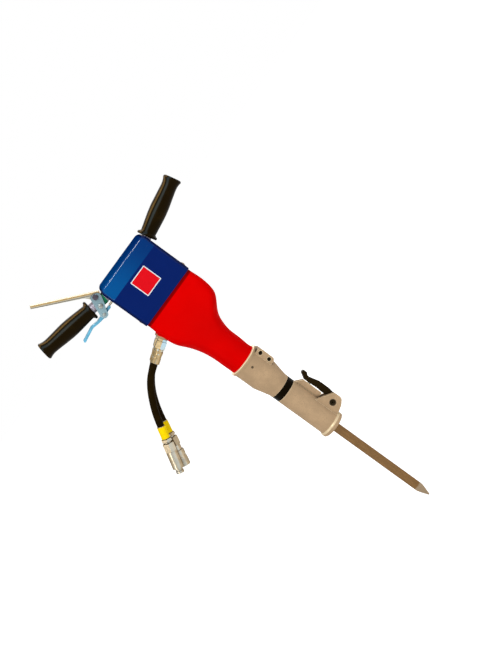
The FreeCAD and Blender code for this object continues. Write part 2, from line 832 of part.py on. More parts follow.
def block_screw_places():
    right_x = block_left_x + block_length
    return [(x, y) for x in (block_left_x + block_screw_inset, right_x - block_screw_inset)
            for y in (-block_width / 2 + block_screw_inset, block_width / 2 - block_screw_inset)]


def valve_block():
    """Valve housing bolted on the deck, with the spool bore along X."""
    right_x = block_left_x + block_length
    corners = [V(block_left_x, -block_width / 2, deck_z), V(right_x, -block_width / 2, deck_z),
               V(right_x, block_width / 2, deck_z), V(block_left_x, block_width / 2, deck_z)]
    block = Part.Face(rounded_wire(corners, [block_corner] * 4)).extrude(V(0, 0, block_height))
    bore = Part.makeCylinder(spool_radius + running_fit, block_length + 2 * overrun,
                             V(block_left_x - overrun, 0, spool_z), X_AXIS)
    block = block.cut(bore)
    middle = block_left_x + block_length / 2
    block = block.cut(Part.makeCylinder(gallery_radius, spool_z - deck_z + overrun,
                                        V(middle, 0, deck_z - overrun)))
    top = deck_z + block_height
    for x, y in block_screw_places():
        block = block.cut(Part.makeCylinder(block_screw_radius + side_gap, block_height + 2 * overrun,
                                            V(x, y, deck_z - overrun)))
        block = block.cut(Part.makeCylinder(block_screw_head_radius + side_gap, block_screw_head + overrun,
                                            V(x, y, top - block_screw_head)))
    return block


def valve_block_screws():
    screws = []
    top = deck_z + block_height
    length = block_screw_length - 2 * overrun
    for x, y in block_screw_places():
        head = Part.makeCylinder(block_screw_head_radius, block_screw_head, V(x, y, top - block_screw_head))
        key = hexagon(block_screw_radius, block_screw_head)
        key.translate(V(x, y, top - block_screw_head / 2))
        shank = Part.makeCylinder(block_screw_radius, length, V(x, y, top - block_screw_head - length))
        screws.append(head.cut(key).fuse(shank))
    return Part.makeCompound(screws)


def valve_spool():
    """Valve spool along X: a button that the valve pin presses, and lands between oil grooves."""
    land = (spool_body_length - 2 * spool_groove_length) / 3
    heights = [0, spool_button_length, spool_button_length + land,
               spool_button_length + land + spool_groove_length,
               spool_button_length + 2 * land + spool_groove_length,
               spool_button_length + 2 * land + 2 * spool_groove_length,
               spool_button_length + spool_body_length]
    profile = [(0, 0, 0), (spool_button_radius, 0, edge_break), (spool_button_radius, heights[1], 0),
               (spool_radius, heights[1], edge_break), (spool_radius, heights[2], 0),
               (spool_groove_radius, heights[2], 0), (spool_groove_radius, heights[3], 0),
               (spool_radius, heights[3], 0), (spool_radius, heights[4], 0),
               (spool_groove_radius, heights[4], 0), (spool_groove_radius, heights[5], 0),
               (spool_radius, heights[5], 0), (spool_radius, heights[6], edge_break), (0, heights[6], 0)]
    return aimed(turned(profile), V(spool_tip_x, 0, spool_z), X_AXIS)


def spool_end_x():
    return spool_tip_x + spool_button_length + spool_body_length


def spool_spring():
    start = spool_end_x() + spool_stroke_room
    end = block_left_x + block_length - valve_plug_depth
    spring = coil(spool_spring_radius, spring_wire_radius, end - start - side_gap, spool_spring_turns)
    return aimed(spring, V(start, 0, spool_z), X_AXIS)


def valve_plug():
    right_x = block_left_x + block_length
    stem = Part.makeCylinder(spool_radius, valve_plug_depth, V(right_x - valve_plug_depth, 0, spool_z), X_AXIS)
    head = aimed(chamfered_hexagon(valve_plug_flats, valve_plug_head), V(right_x, 0, spool_z), X_AXIS)
    return stem.fuse(head)


def accumulator_diaphragm():
    """Rubber cup below the gas charge."""
    outer = accumulator_radius - side_gap
    depth = accumulator_depth - accumulator_cover_depth - seat_gap
    profile = [(0, 0, 0), (outer, 0, outer / 2), (outer, depth, 0), (outer - diaphragm_wall, depth, 0),
               (outer - diaphragm_wall, diaphragm_wall, outer / 3), (0, diaphragm_wall, 0)]
    cup = turned(profile)
    cup.translate(V(accumulator_x, 0, deck_z - accumulator_depth))
    return cup


def accumulator_cover():
    cover = Part.makeCylinder(accumulator_radius - running_fit, accumulator_cover_depth,
                              V(accumulator_x, 0, deck_z - accumulator_cover_depth))
    rim = Part.makeCylinder(accumulator_rim_radius, accumulator_rim_height, V(accumulator_x, 0, deck_z))
    key = hexagon(accumulator_recess_flats, accumulator_cover_depth)
    key.translate(V(accumulator_x, 0, deck_z - accumulator_rim_height))
    return cover.fuse(rim).cut(key)


def reversing_sleeve():
    outer = main_bore_radius - running_fit
    low = reversing_top_z - reversing_sleeve_length
    sleeve = ring_between(outer, reversing_sleeve_bore + running_fit, low + reversing_shoulder,
                          reversing_top_z)
    shoulder = ring_between(outer, reversing_valve_bore + side_gap, low, low + reversing_shoulder)
    sleeve = sleeve.fuse(shoulder)
    for i in range(4):
        turn = math.radians(90 * i)
        sleeve = sleeve.cut(Part.makeCylinder(gallery_radius / 2, outer + overrun,
                                              V(0, 0, reversing_top_z - reversing_shoulder),
                                              V(math.cos(turn), math.sin(turn), 0)))
    return sleeve


def reversing_valve():
    low = reversing_top_z - reversing_sleeve_length + reversing_shoulder + side_gap
    high = low + reversing_valve_length
    valve = ring_between(reversing_sleeve_bore, reversing_valve_bore, low, high)
    middle = (low + high) / 2
    groove = ring_between(reversing_sleeve_bore + overrun, reversing_sleeve_bore - 2 * oring_radius,
                          middle - reversing_travel / 2, middle + reversing_travel / 2)
    return valve.cut(groove)


def oring_levels():
    length = liner_top_z - spigot_end_z
    level_shares = (0.04, 0.42, 0.95)
    return [spigot_end_z + length * share for share in level_shares]


def cylinder_liner():
    """Working cylinder: a guide at each end, a wider bore between, and a flange below the spigot."""
    outer = main_bore_radius - running_fit
    flange_top = spigot_end_z - side_gap
    flange_bottom = flange_top - liner_flange_height
    profile = [(liner_lower_guide_radius, flange_bottom, 0), (liner_flange_radius, flange_bottom, edge_break),
               (liner_flange_radius, flange_top, 0), (outer, flange_top, 0), (outer, liner_top_z, edge_break),
               (liner_upper_guide_radius, liner_top_z, 0),
               (liner_upper_guide_radius, liner_top_z - liner_upper_guide, 0),
               (liner_bore_radius, liner_top_z - liner_upper_guide - edge_break, 0),
               (liner_bore_radius, spigot_end_z + liner_lower_guide, 0),
               (liner_lower_guide_radius, spigot_end_z + liner_lower_guide - edge_break, 0)]
    liner = turned(profile)
    for level in oring_levels():
        liner = liner.cut(ring_between(outer + overrun, outer - 2 * oring_radius, level - oring_radius,
                                       level + oring_radius))
    return liner


def liner_seals():
    """O-rings in the liner's grooves."""
    major = main_bore_radius - running_fit - oring_radius
    return Part.makeCompound([Part.makeTorus(major - side_gap, oring_radius - side_gap, V(0, 0, level))
                              for level in oring_levels()])


def piston():
    """Percussion piston: hammer end below, two lands with a waist between, and a guide stem above."""
    land_radius = liner_bore_radius - running_fit
    low_radius = liner_lower_guide_radius - running_fit
    high_radius = liner_upper_guide_radius - running_fit
    z0 = piston_bottom_z
    z1 = z0 + piston_stem_below
    z1 = max(z1, spigot_end_z + liner_lower_guide + seat_gap)
    z2 = z1 + piston_land
    z3 = z2 + piston_land_gap
    z4 = z3 + piston_land
    profile = [(0, z0, 0), (low_radius, z0, 2 * edge_break), (low_radius, z1, 0), (land_radius, z1, edge_break),
               (land_radius, z2, edge_break), (piston_waist_radius, z2, 0), (piston_waist_radius, z3, 0),
               (land_radius, z3, edge_break), (land_radius, z4, edge_break), (high_radius, z4, 0),
               (high_radius, piston_top_z, edge_break), (0, piston_top_z, 0)]
    return turned(profile)


def rod_seal():
    top = spigot_end_z - side_gap - liner_flange_height - side_gap
    return ring_between(rod_seal_outer_radius - side_gap, liner_lower_guide_radius + side_gap,
                        top - rod_seal_height, top)


def clamp_screw_levels():
    first = clamp_boss_top_z - clamp_screw_top_drop
    return [first, first - clamp_screw_pitch]


def front_head():
    """Cast head: raised rim, split clamp boss on the right, taper to the nose and a joint spigot."""
    rim_bottom = neck_end_z - rim_height
    bore = spigot_radius + side_gap
    flange_room = liner_flange_radius + side_gap
    flange_floor = spigot_end_z - side_gap - liner_flange_height - side_gap
    seal_floor = flange_floor - rod_seal_height - side_gap
    top = neck_end_z - side_gap
    profile = [(bore, top, 0), (rim_radius - edge_break, top, edge_break), (rim_radius, top - edge_break, 0),
               (rim_radius, rim_bottom + rim_height / 2, rim_height / 4), (head_radius, rim_bottom, rim_height / 3),
               (head_radius, head_straight_z, head_radius / 2), (nose_radius, head_taper_z, head_radius / 2),
               (nose_radius, band_top_z, edge_break), (band_seat_radius, band_top_z, 0),
               (band_seat_radius, head_joint_z, 0), (joint_spigot_radius, head_joint_z, 0),
               (joint_spigot_radius, head_joint_z - joint_spigot_length, edge_break),
               (head_chamber_radius, head_joint_z - joint_spigot_length, 0), (head_chamber_radius, seal_floor, 0),
               (rod_seal_outer_radius, seal_floor, 0), (rod_seal_outer_radius, flange_floor, 0),
               (flange_room, flange_floor, 0), (flange_room, spigot_end_z - side_gap, 0), (bore, spigot_end_z, 0)]
    head = turned(profile)
    low = clamp_boss_top_z - clamp_boss_height
    corner = clamp_boss_corner
    outline = [(clamp_boss_left_x, low, 0), (clamp_boss_right_x, low, corner),
               (clamp_boss_right_x, clamp_boss_top_z, corner), (clamp_boss_left_x, clamp_boss_top_z, 0)]
    boss = middle_plate(outline, clamp_boss_half_y)
    boss = boss.makeFillet(edge_break, [edge for edge in boss.Edges
                                        if abs(abs(edge.CenterOfMass.y) - clamp_boss_half_y) < side_gap
                                        and edge.CenterOfMass.x > clamp_boss_left_x + overrun])
    boss = boss.cut(Part.makeCylinder((head_radius + bore) / 2, clamp_boss_height + 2 * overrun,
                                      V(0, 0, low - overrun)))
    head = head.fuse(boss)
    slit_low = low - clamp_slit
    head = head.cut(box(liner_flange_radius - 2 * overrun, clamp_boss_right_x + overrun, -clamp_slit / 2,
                        clamp_slit / 2, slit_low, neck_end_z + overrun))
    for level in clamp_screw_levels():
        head = head.cut(cross_bore(clamp_screw_x, level, clamp_screw_radius + side_gap))
        recess = Part.makeCylinder(clamp_head_radius + side_gap, clamp_recess_depth,
                                   V(clamp_screw_x, -clamp_boss_half_y, level), Y_AXIS)
        head = head.cut(recess)
    return head


def cross_bore(x, z, radius):
    """Cylinder right across the object along Y, for pin and screw holes."""
    return Part.makeCylinder(radius, hood_depth, V(x, -hood_depth / 2, z), Y_AXIS)


def clamp_screws():
    screws = []
    seat_y = -clamp_boss_half_y + clamp_recess_depth
    length = 2 * clamp_boss_half_y - clamp_recess_depth - overrun
    for level in clamp_screw_levels():
        head = Part.makeCylinder(clamp_head_radius, clamp_head_height,
                                 V(clamp_screw_x, seat_y - clamp_head_height, level), Y_AXIS)
        key = aimed(hexagon(clamp_key_flats, clamp_head_height / 2),
                    V(clamp_screw_x, seat_y - clamp_head_height, level), Y_AXIS)
        shank = Part.makeCylinder(clamp_screw_radius, length, V(clamp_screw_x, seat_y, level), Y_AXIS)
        screws.append(head.cut(key).fuse(shank))
    return Part.makeCompound(screws)


def joint_band():
    """Rubber band over the joint of head and housing."""
    low = band_bottom_z + side_gap
    high = band_top_z - side_gap
    outer = nose_radius - side_gap
    inner = band_seat_radius + running_fit
    return turned([(inner, low, 0), (outer, low, edge_break), (outer, high, edge_break), (inner, high, 0)])


def ear_outline():
    """Ear about the latch pin: sloping top edge, round nose, and an underside back to the bead."""
    reach = latch_pin_radius * 3.7
    inside = tool_chamber_radius - overrun
    return [(inside, latch_z + reach * 1.95, 0), (latch_x + reach * 0.95, latch_z + reach * 0.50, reach * 0.6),
            (latch_x + reach * 1.02, latch_z - reach * 0.55, reach * 0.6),
            (latch_x + reach * 0.25, latch_z - reach * 1.0, reach * 0.5),
            (inside, latch_z - reach * 1.35, 0)]


def latch_housing():
    """Nose casting: round barrel, end bead, latch rail and two ears for the latch pin."""
    top = head_joint_z - side_gap
    spigot_room = joint_spigot_radius + side_gap
    spigot_floor = head_joint_z - joint_spigot_length - side_gap
    bush_floor = bushing_top_z - bushing_length - side_gap
    bead_top = housing_bottom_z + bead_height
    round_off = bead_height / 3
    profile = [(spigot_room, top, 0), (band_seat_radius, top, 0), (band_seat_radius, band_bottom_z, 0),
               (nose_radius, band_bottom_z, edge_break), (nose_radius, bead_top, round_off),
               (bead_radius, bead_top - bead_height * 0.35, round_off / 2),
               (bead_radius, housing_bottom_z, bead_height / 2),
               (tool_chamber_radius, housing_bottom_z, edge_break),
               (tool_chamber_radius, bush_floor, 0), (bushing_radius + running_fit, bush_floor, 0),
               (bushing_radius + running_fit, spigot_floor, 0), (spigot_room, spigot_floor, 0)]
    housing = turned(profile)
    rail_root = tool_chamber_radius + overrun * 3
    rail = [(rail_root, rail_bottom_z - overrun * 4, 0), (rail_face_x, rail_bottom_z, edge_break),
            (rail_face_x, rail_top_z - rail_slope_height, 2 * edge_break), (nose_radius - overrun, rail_top_z, 0),
            (rail_root, rail_top_z, 0)]
    rail_solid = middle_plate(rail, rail_half_width)
    rail_solid = rail_solid.cut(Part.makeCylinder(bushing_radius + overrun * 3, bead_height * 10,
                                                  V(0, 0, bush_floor)))
    ears = middle_plate(ear_outline(), ear_outer_y)
    ears = ears.cut(Part.makeCylinder(tool_chamber_radius + overrun * 3, housing_bottom_z * -1,
                                      V(0, 0, housing_bottom_z - overrun)))
    rims = [edge for edge in ears.Edges if abs(abs(edge.CenterOfMass.y) - ear_outer_y) < side_gap
            and edge.CenterOfMass.x > latch_x - latch_pin_radius]
    ears = ears.makeFillet(edge_break, rims)
    housing = housing.fuse(rail_solid).fuse(ears)
    sweep = Part.makeCylinder(latch_nose_radius + 2 * seat_gap, 2 * ear_inner_y,
                              V(latch_x, -ear_inner_y, latch_z), Y_AXIS)
    slot_end = rail_bottom_z - overrun
    above_bead = box(-latch_x, latch_x + 3 * latch_hub_radius, -ear_inner_y, ear_inner_y, bead_top, slot_end)
    slot = box(latch_x - latch_hub_radius, latch_x + 3 * latch_hub_radius, -ear_inner_y, ear_inner_y, bead_top,
               slot_end)
    outside_x = math.sqrt(bead_radius ** 2 - ear_inner_y ** 2) - seat_gap
    beside_bead = box(outside_x, latch_x + 3 * latch_hub_radius, -ear_inner_y, ear_inner_y,
                      housing_bottom_z - overrun, slot_end)
    housing = housing.cut(sweep.common(above_bead)).cut(slot).cut(beside_bead)
    housing = housing.cut(cross_bore(latch_x, latch_z, latch_pin_radius + running_fit))
    for side in (-1, 1):
        start = V(latch_x, side * ear_outer_y, latch_z)
        housing = housing.cut(Part.makeCylinder(latch_recess_radius, latch_pin_recess, start, Y_AXIS * -side))
    housing = housing.cut(Part.makeCylinder(detent_radius + running_fit, detent_depth,
                                            V(rail_face_x - detent_depth, 0, detent_z), X_AXIS))
    housing = housing.cut(bushing_pin_bore())
    return housing


def bushing_pin_bore():
    """Cross hole for the bushing's pin, tangent to the bushing behind the axis."""
    start = V(-nose_radius - overrun, bushing_pin_y, bushing_pin_z)
    return Part.makeCylinder(bushing_pin_radius + running_fit, 2 * nose_radius + 2 * overrun, start, X_AXIS)


def bushing_pin():
    """Spring pin across the housing that keeps the bushing in, with its ends ground to the barrel."""
    half = math.sqrt(nose_radius ** 2 - bushing_pin_y ** 2) - bushing_pin_radius
    pin = Part.makeCylinder(bushing_pin_radius, 2 * half, V(-half, bushing_pin_y, bushing_pin_z), X_AXIS)
    return pin.cut(Part.makeCylinder(bushing_pin_radius / 2, 2 * half, V(-half, bushing_pin_y, bushing_pin_z),
                                     X_AXIS))


def tool_bushing():
    """Wear bushing with a hexagon bore that keeps the chisel from turning."""
    low = bushing_top_z - bushing_length
    bushing = Part.makeCylinder(bushing_radius, bushing_length, V(0, 0, low))
    bore = hexagon(shank_flats + 2 * bushing_hex_gap, bushing_length + 2 * overrun)
    bore.translate(V(0, 0, low - overrun))
    lead_in = Part.makeCone(shank_flats / math.sqrt(3) + 3 * overrun, shank_flats / 2, 4 * overrun, V(0, 0, low))
    return bushing.cut(bore).cut(lead_in).cut(bushing_pin_bore())


def latch_detent():
    """Rubber plug in the rail that the shut lever rests against."""
    head = detent_radius / 4
    return Part.makeCylinder(detent_radius, detent_depth - side_gap + head,
                             V(rail_face_x - detent_depth + side_gap, 0, detent_z), X_AXIS)


def latch_pin():
    """Pin through both ears, set back in its recesses."""
    half = ear_outer_y - latch_pin_recess / 2
    pin = Part.makeCylinder(latch_pin_radius, 2 * half, V(latch_x, -half, latch_z), Y_AXIS)
    for side in (-1, 1):
        socket = Part.makeCylinder(latch_pin_radius * 0.45, latch_pin_radius,
                                   V(latch_x, side * half, latch_z), Y_AXIS * -side)
        pin = pin.cut(socket)
    return pin


def latch_lever():
    """Latch lever: retaining nose, hub, bowed arm along the rail and a thumb tab at the top."""
    width = 2 * latch_half_width
    face = rail_face_x + 4 * seat_gap
    arm_height = rail_top_z - rail_slope_height - latch_z
    hub = Part.makeCylinder(latch_hub_radius, width, V(latch_x, -latch_half_width, latch_z), Y_AXIS)
    nose = Part.makeCylinder(latch_nose_radius, width, V(latch_x, -latch_half_width, latch_z), Y_AXIS)
    far = latch_nose_radius * 2
    wedge = [(latch_x, latch_z, 0)]
    for degrees in (latch_nose_from_deg, latch_nose_to_deg):
        turn = math.radians(degrees)
        wedge.append((latch_x - far * math.cos(turn), latch_z + far * math.sin(turn), 0))
    nose = nose.common(middle_plate(wedge, latch_half_width))
    bow = latch_hub_radius
    outline = [
        (latch_x, latch_z, 0), (face, latch_z + arm_height * 0.12, bow / 2),
        (face, latch_z + arm_height * 0.38, bow), (face + bow * 0.10, latch_z + arm_height * 0.56, bow * 3),
        (face, latch_z + arm_height * 0.80, bow), (face, latch_z + arm_height * 0.985, bow / 4),
        (face + bow * 0.80, latch_z + arm_height * 1.175, bow / 4),
        (face + bow * 1.40, latch_z + arm_height * 1.155, bow / 4),
        (face + bow * 1.40, latch_z + arm_height * 1.045, bow / 4),
        (face + bow * 0.96, latch_z + arm_height * 0.985, bow / 4),
        (face + bow * 0.95, latch_z + arm_height * 0.88, bow),
        (face + bow * 1.43, latch_z + arm_height * 0.60, bow * 3),
        (face + bow * 1.43, latch_z + arm_height * 0.28, bow * 2),
        (face + bow * 1.21, latch_z + arm_height * 0.10, bow),
        (face + bow * 0.7, latch_z - arm_height * 0.05, bow / 2),
    ]
    arm = middle_plate(outline, latch_half_width)
    rims = [edge for edge in arm.Edges if abs(abs(edge.CenterOfMass.y) - latch_half_width) < side_gap
            and edge.CenterOfMass.z > latch_z + latch_hub_radius + overrun]
    arm = arm.makeFillet(edge_break, rims)
    lever = hub.fuse(nose).fuse(arm)
    return lever.cut(cross_bore(latch_x, latch_z, latch_pin_radius + running_fit)).removeSplitter()


def chisel():
    """Moil point chisel: hexagon bar with a collar and a four-sided point."""
    bar = hexagon(shank_flats, shank_top_z - chisel_tip_z)
    bar.translate(V(0, 0, chisel_tip_z))
    point_top = chisel_tip_z + chisel_point_length
    wide = shank_flats / math.sqrt(3) * 1.02

    def square(half, z):
        return Part.makePolygon([V(half, half, z), V(-half, half, z), V(-half, -half, z), V(half, -half, z),
                                 V(half, half, z)])

    point = Part.makeLoft([square(chisel_tip_width / 2, chisel_tip_z), square(wide, point_top)], True, True)
    rest = Part.makeCylinder(shank_flats, shank_top_z - point_top, V(0, 0, point_top))
    bar = bar.common(point.fuse(rest))
    top_break = Part.makeCone(shank_flats, shank_flats / 2 - edge_break, shank_flats / 2, V(0, 0, shank_top_z
                                                                                      - shank_flats / 2))
    body = Part.makeCylinder(shank_flats, shank_top_z - chisel_tip_z - shank_flats / 2, V(0, 0, chisel_tip_z))
    bar = bar.common(top_break.fuse(body))
    collar = turned([(0, collar_bottom_z, 0), (collar_radius, collar_bottom_z, edge_break),
                     (collar_radius, collar_top_z, edge_break * 3), (0, collar_top_z, 0)])
    return bar.fuse(collar)


def arm_frame(along, up):
    """Point in the arm's own frame: distance from its root towards the tip, and height above its axis."""
    pitch = math.radians(arm_pitch_deg)
    root_x = pivot_x + arm_root_dx
    root_z = pivot_z + arm_root_dz
    return (root_x - along * math.cos(pitch) + up * math.sin(pitch),
            root_z + along * math.sin(pitch) + up * math.cos(pitch))


def trigger_arm():
    """Pressed channel arm: a top web with two flanges, deeper at the root round the arm bolt."""
    flange = cheek_inner_y - running_fit
    lobe = arm_bolt_flats * 0.62
    top_half = arm_root_depth / 2
    tip_half = arm_tip_depth / 2
    bolt_dx = arm_bolt_x - (pivot_x + arm_root_dx)
    bolt_dz = arm_bolt_z - (pivot_z + arm_root_dz)
    pitch = math.radians(arm_pitch_deg)
    bolt_along = -bolt_dx * math.cos(pitch) + bolt_dz * math.sin(pitch)
    bolt_up = bolt_dx * math.sin(pitch) + bolt_dz * math.cos(pitch)
    low = bolt_up - lobe
    shape_points = [
        (0, top_half, 2 * edge_break), (arm_length, tip_half, 2 * edge_break),
        (arm_length, -tip_half, 2 * edge_break), (bolt_along + lobe * 3.2, -top_half * 0.9, lobe * 3),
        (bolt_along + lobe, low + lobe * 0.4, lobe), (bolt_along, low, lobe), (bolt_along - lobe, low, lobe),
        (-top_half * 0.1, -top_half, top_half),
    ]

    def side(points):
        return [arm_frame(along, up) + (radius,) for along, up, radius in points]

    arm = middle_plate(side(shape_points), flange)
    hollow_points = [(-lobe * 3, top_half - arm_sheet, 0),
                     (arm_length + lobe, tip_half - arm_sheet, 0), (arm_length + lobe, low - lobe * 2, 0),
                     (-lobe * 3, low - lobe * 2, 0)]
    arm = arm.cut(middle_plate(side(hollow_points), flange - arm_sheet))
    return arm.cut(cross_bore(arm_bolt_x, arm_bolt_z, arm_bolt_radius + side_gap))


def cheek_outline():
    """Cheek plate about the arm bolt, the pivot and the catch rivet, in shares of their distances."""
    wide = pivot_head_radius
    return [
        (arm_bolt_x + wide * 1.95, arm_bolt_z + wide * 0.15, wide * 0.4),
        (arm_bolt_x + wide * 1.95, arm_bolt_z - wide * 1.4, wide * 0.8),
        (pivot_x + wide * 1.75, pivot_z - wide * 0.5, wide * 2),
        (catch_x + wide * 1.75, catch_z + wide * 0.2, wide),
        (catch_x + wide * 1.05, catch_z - wide * 1.35, wide),
        (catch_x - wide * 0.9, catch_z - wide * 1.35, wide),
        (catch_x - wide * 1.6, catch_z + wide * 0.3, wide * 0.8),
        (pivot_x - wide * 1.7, pivot_z + wide * 1.2, wide * 2),
        (arm_bolt_x - wide * 2.2, arm_bolt_z - wide * 0.1, wide),
        (arm_bolt_x - wide * 1.6, arm_bolt_z + wide * 1.3, wide * 0.8),
        (arm_bolt_x + wide * 0.5, arm_bolt_z + wide * 1.3, wide),
    ]


def cheek_plate(side):
    low_y = cheek_inner_y if side > 0 else -cheek_outer_y
    cheek = plate(cheek_outline(), cheek_thickness, low_y)
    for x, z, radius in ((pivot_x, pivot_z, pivot_pin_radius + running_fit),
                         (arm_bolt_x, arm_bolt_z, arm_bolt_radius + side_gap),
                         (catch_x, catch_z, catch_rivet_radius + side_gap)):
        cheek = cheek.cut(cross_bore(x, z, radius))
    return cheek


def trigger_pivot_pin():
    """Headed pin through the left tube that the cheeks turn on."""
    half = cheek_outer_y + side_gap
    shank = Part.makeCylinder(pivot_pin_radius, 2 * half, V(pivot_x, -half, pivot_z), Y_AXIS)
    head = turned([(0, 0, 0), (pivot_head_radius, 0, 0), (pivot_head_radius, pivot_head_height * 0.4, edge_break / 2),
                   (pivot_head_radius / 2, pivot_head_height, pivot_head_radius / 3), (0, pivot_head_height, 0)])
    parts = [shank]
    for side in (-1, 1):
        parts.append(aimed(head, V(pivot_x, side * half, pivot_z), Y_AXIS * side))
    return fused(parts)


def pivot_bushes():
    """Spacers on the pivot pin between the tube and the cheeks."""
    offset = (pivot_z - tube_centre_z(pivot_x)) * math.cos(math.radians(handle_rise_deg))
    near = math.sqrt(tube_radius ** 2 - (abs(offset) - pivot_bush_radius / 2) ** 2)
    outer_y = cheek_inner_y - side_gap
    bushes = []
    whole = Part.makeCylinder(pivot_bush_radius, 2 * outer_y, V(pivot_x, -outer_y, pivot_z), Y_AXIS)
    whole = whole.cut(cross_bore(pivot_x, pivot_z, pivot_pin_radius + running_fit))
    whole = whole.cut(Part.makeCylinder(tube_radius + running_fit, hood_width, handle_vertex(),
                                        handle_direction(-1)))
    for side in (-1, 1):
        start = near * 0.8
        slab = box(pivot_x - hood_depth, pivot_x + hood_depth, min(side * start, side * hood_depth),
                   max(side * start, side * hood_depth), pivot_z - hood_depth, pivot_z + hood_depth)
        bushes.append(whole.common(slab).Solids[0])
    return Part.makeCompound(bushes)


def arm_bolt():
    """Bolt and nut that join the arm to both cheeks."""
    head_seat = -cheek_outer_y
    nut_seat = cheek_outer_y
    length = 2 * cheek_outer_y + arm_nut_height + overrun
    shank = Part.makeCylinder(arm_bolt_radius, length, V(arm_bolt_x, head_seat, arm_bolt_z), Y_AXIS)
    head = aimed(chamfered_hexagon(arm_bolt_flats, arm_bolt_head), V(arm_bolt_x, head_seat, arm_bolt_z),
                 Y_AXIS * -1)
    nut = aimed(chamfered_hexagon(arm_bolt_flats, arm_nut_height), V(arm_bolt_x, nut_seat, arm_bolt_z), Y_AXIS)
    nut = nut.cut(cross_bore(arm_bolt_x, arm_bolt_z, arm_bolt_radius + running_fit))
    return Part.makeCompound([head.fuse(shank), nut])


def catch_rivet():
    half = cheek_outer_y + running_fit
    shank = Part.makeCylinder(catch_rivet_radius, 2 * half, V(catch_x, -half, catch_z), Y_AXIS)
    head = turned([(0, 0, 0), (catch_rivet_head_radius, 0, 0),
                   (catch_rivet_head_radius, catch_rivet_head / 2, edge_break / 2),
                   (catch_rivet_head_radius / 2, catch_rivet_head, catch_rivet_head_radius / 3),
                   (0, catch_rivet_head, 0)])
    return fused([shank] + [aimed(head, V(catch_x, side * half, catch_z), Y_AXIS * side) for side in (-1, 1)])


def safety_catch():
    """Moulded finger catch: a tail that faces the valve pin, a hub on the rivet and a bent finger lever."""
    half = catch_thickness / 2
    tail_x = plunger_tip_x - seat_gap
    reach = tail_x - catch_x
    outline = [
        (tail_x, catch_z + half, half), (tail_x, catch_z - half, half),
        (catch_x + reach * 0.45, catch_z - half, half), (catch_x + reach * 0.20, catch_z - half * 1.8, half),
        (catch_x - half * 2, catch_z - half * 1.8, half * 2),
        (catch_x - catch_lever * 0.30, catch_z - half * 0.95, half * 2),
        (catch_x - catch_lever * 0.51, catch_z + half * 0.50, half * 3),
        (catch_x - catch_lever, catch_z - half * 1.35, half),
        (catch_x - catch_lever, catch_z + half * 0.65, half),
        (catch_x - catch_lever * 0.50, catch_z + half * 2.45, half * 3),
        (catch_x - catch_lever * 0.28, catch_z + half, half * 2), (catch_x - half * 2, catch_z + half, half),
        (catch_x, catch_z + half * 1.4, half), (catch_x + half * 2, catch_z + half, half),
    ]
    blade = middle_plate(outline, catch_half_width)
    hub = Part.makeCylinder(catch_hub_radius, 2 * (cheek_inner_y - seat_gap),
                            V(catch_x, seat_gap - cheek_inner_y, catch_z), Y_AXIS)
    return blade.fuse(hub).cut(cross_bore(catch_x, catch_z, catch_rivet_radius + running_fit))


def plunger():
    """Valve pin: guided in the yoke, with a tall pad inside so that it still meets the spool when the
    machine rises on its suspension."""
    shank = Part.makeCylinder(plunger_radius, plunger_pad_x - plunger_tip_x,
                              V(plunger_tip_x, 0, plunger_z), X_AXIS)
    half = plunger_pad_width / 2
    corners = [V(plunger_pad_x, -half, plunger_z - plunger_pad_below),
               V(plunger_pad_x, half, plunger_z - plunger_pad_below),
               V(plunger_pad_x, half, plunger_z + plunger_pad_above),
               V(plunger_pad_x, -half, plunger_z + plunger_pad_above)]
    pad = Part.Face(rounded_wire(corners, [plunger_radius * 0.9] * 4)).extrude(V(plunger_pad_thickness, 0, 0))
    return fused([shank, pad])


def hose_adapter(place):
    """Threaded adapter in a port: stem inside, hexagon outside."""
    direction = port_direction(place)
    start = port_start(place)
    stem = Part.makeCylinder(adapter_stem_radius, port_depth * 0.6, start, direction * -1)
    hexed = aimed(chamfered_hexagon(adapter_flats, adapter_length - side_gap), start, direction)
    return stem.fuse(hexed)


def hose_nut(place):
    """Swivel nut with its round collar."""
    direction = port_direction(place)
    start = port_start(place) + direction * adapter_length
    nut = aimed(chamfered_hexagon(swivel_flats, swivel_length - side_gap), start, direction)
    collar = Part.makeCylinder(swivel_collar_radius, swivel_collar_length,
                               start + direction * (swivel_length - side_gap), direction)
    return nut.fuse(collar)


def crimped(radius, length, crimp):
    """Hose ferrule with two shallow crimp grooves."""
    profile = [(0, 0, 0), (radius, 0, edge_break), (radius, length * 0.2, 0),
               (radius - crimp, length * 0.28, 0), (radius - crimp, length * 0.5, 0), (radius, length * 0.58, 0),
               (radius, length, edge_break), (0, length, 0)]
    return turned(profile)


def hose_ferrule(place):
    direction = port_direction(place)
    start = port_start(place) + direction * (fitting_length - ferrule_length)
    return aimed(crimped(ferrule_radius, ferrule_length, ferrule_crimp_depth), start, direction)


def hose_points(place):
    """Route of a hose, moved so that it starts on its ferrule's end face."""
    route = front_hose_route if place < 0 else back_hose_route
    start = port_start(place) + port_direction(place) * fitting_length
    points = [V(*p) for p in route]
    first_run = (points[1] - points[0]).Length
    points[0] = start
    points[1] = start + port_direction(place) * first_run
    return points


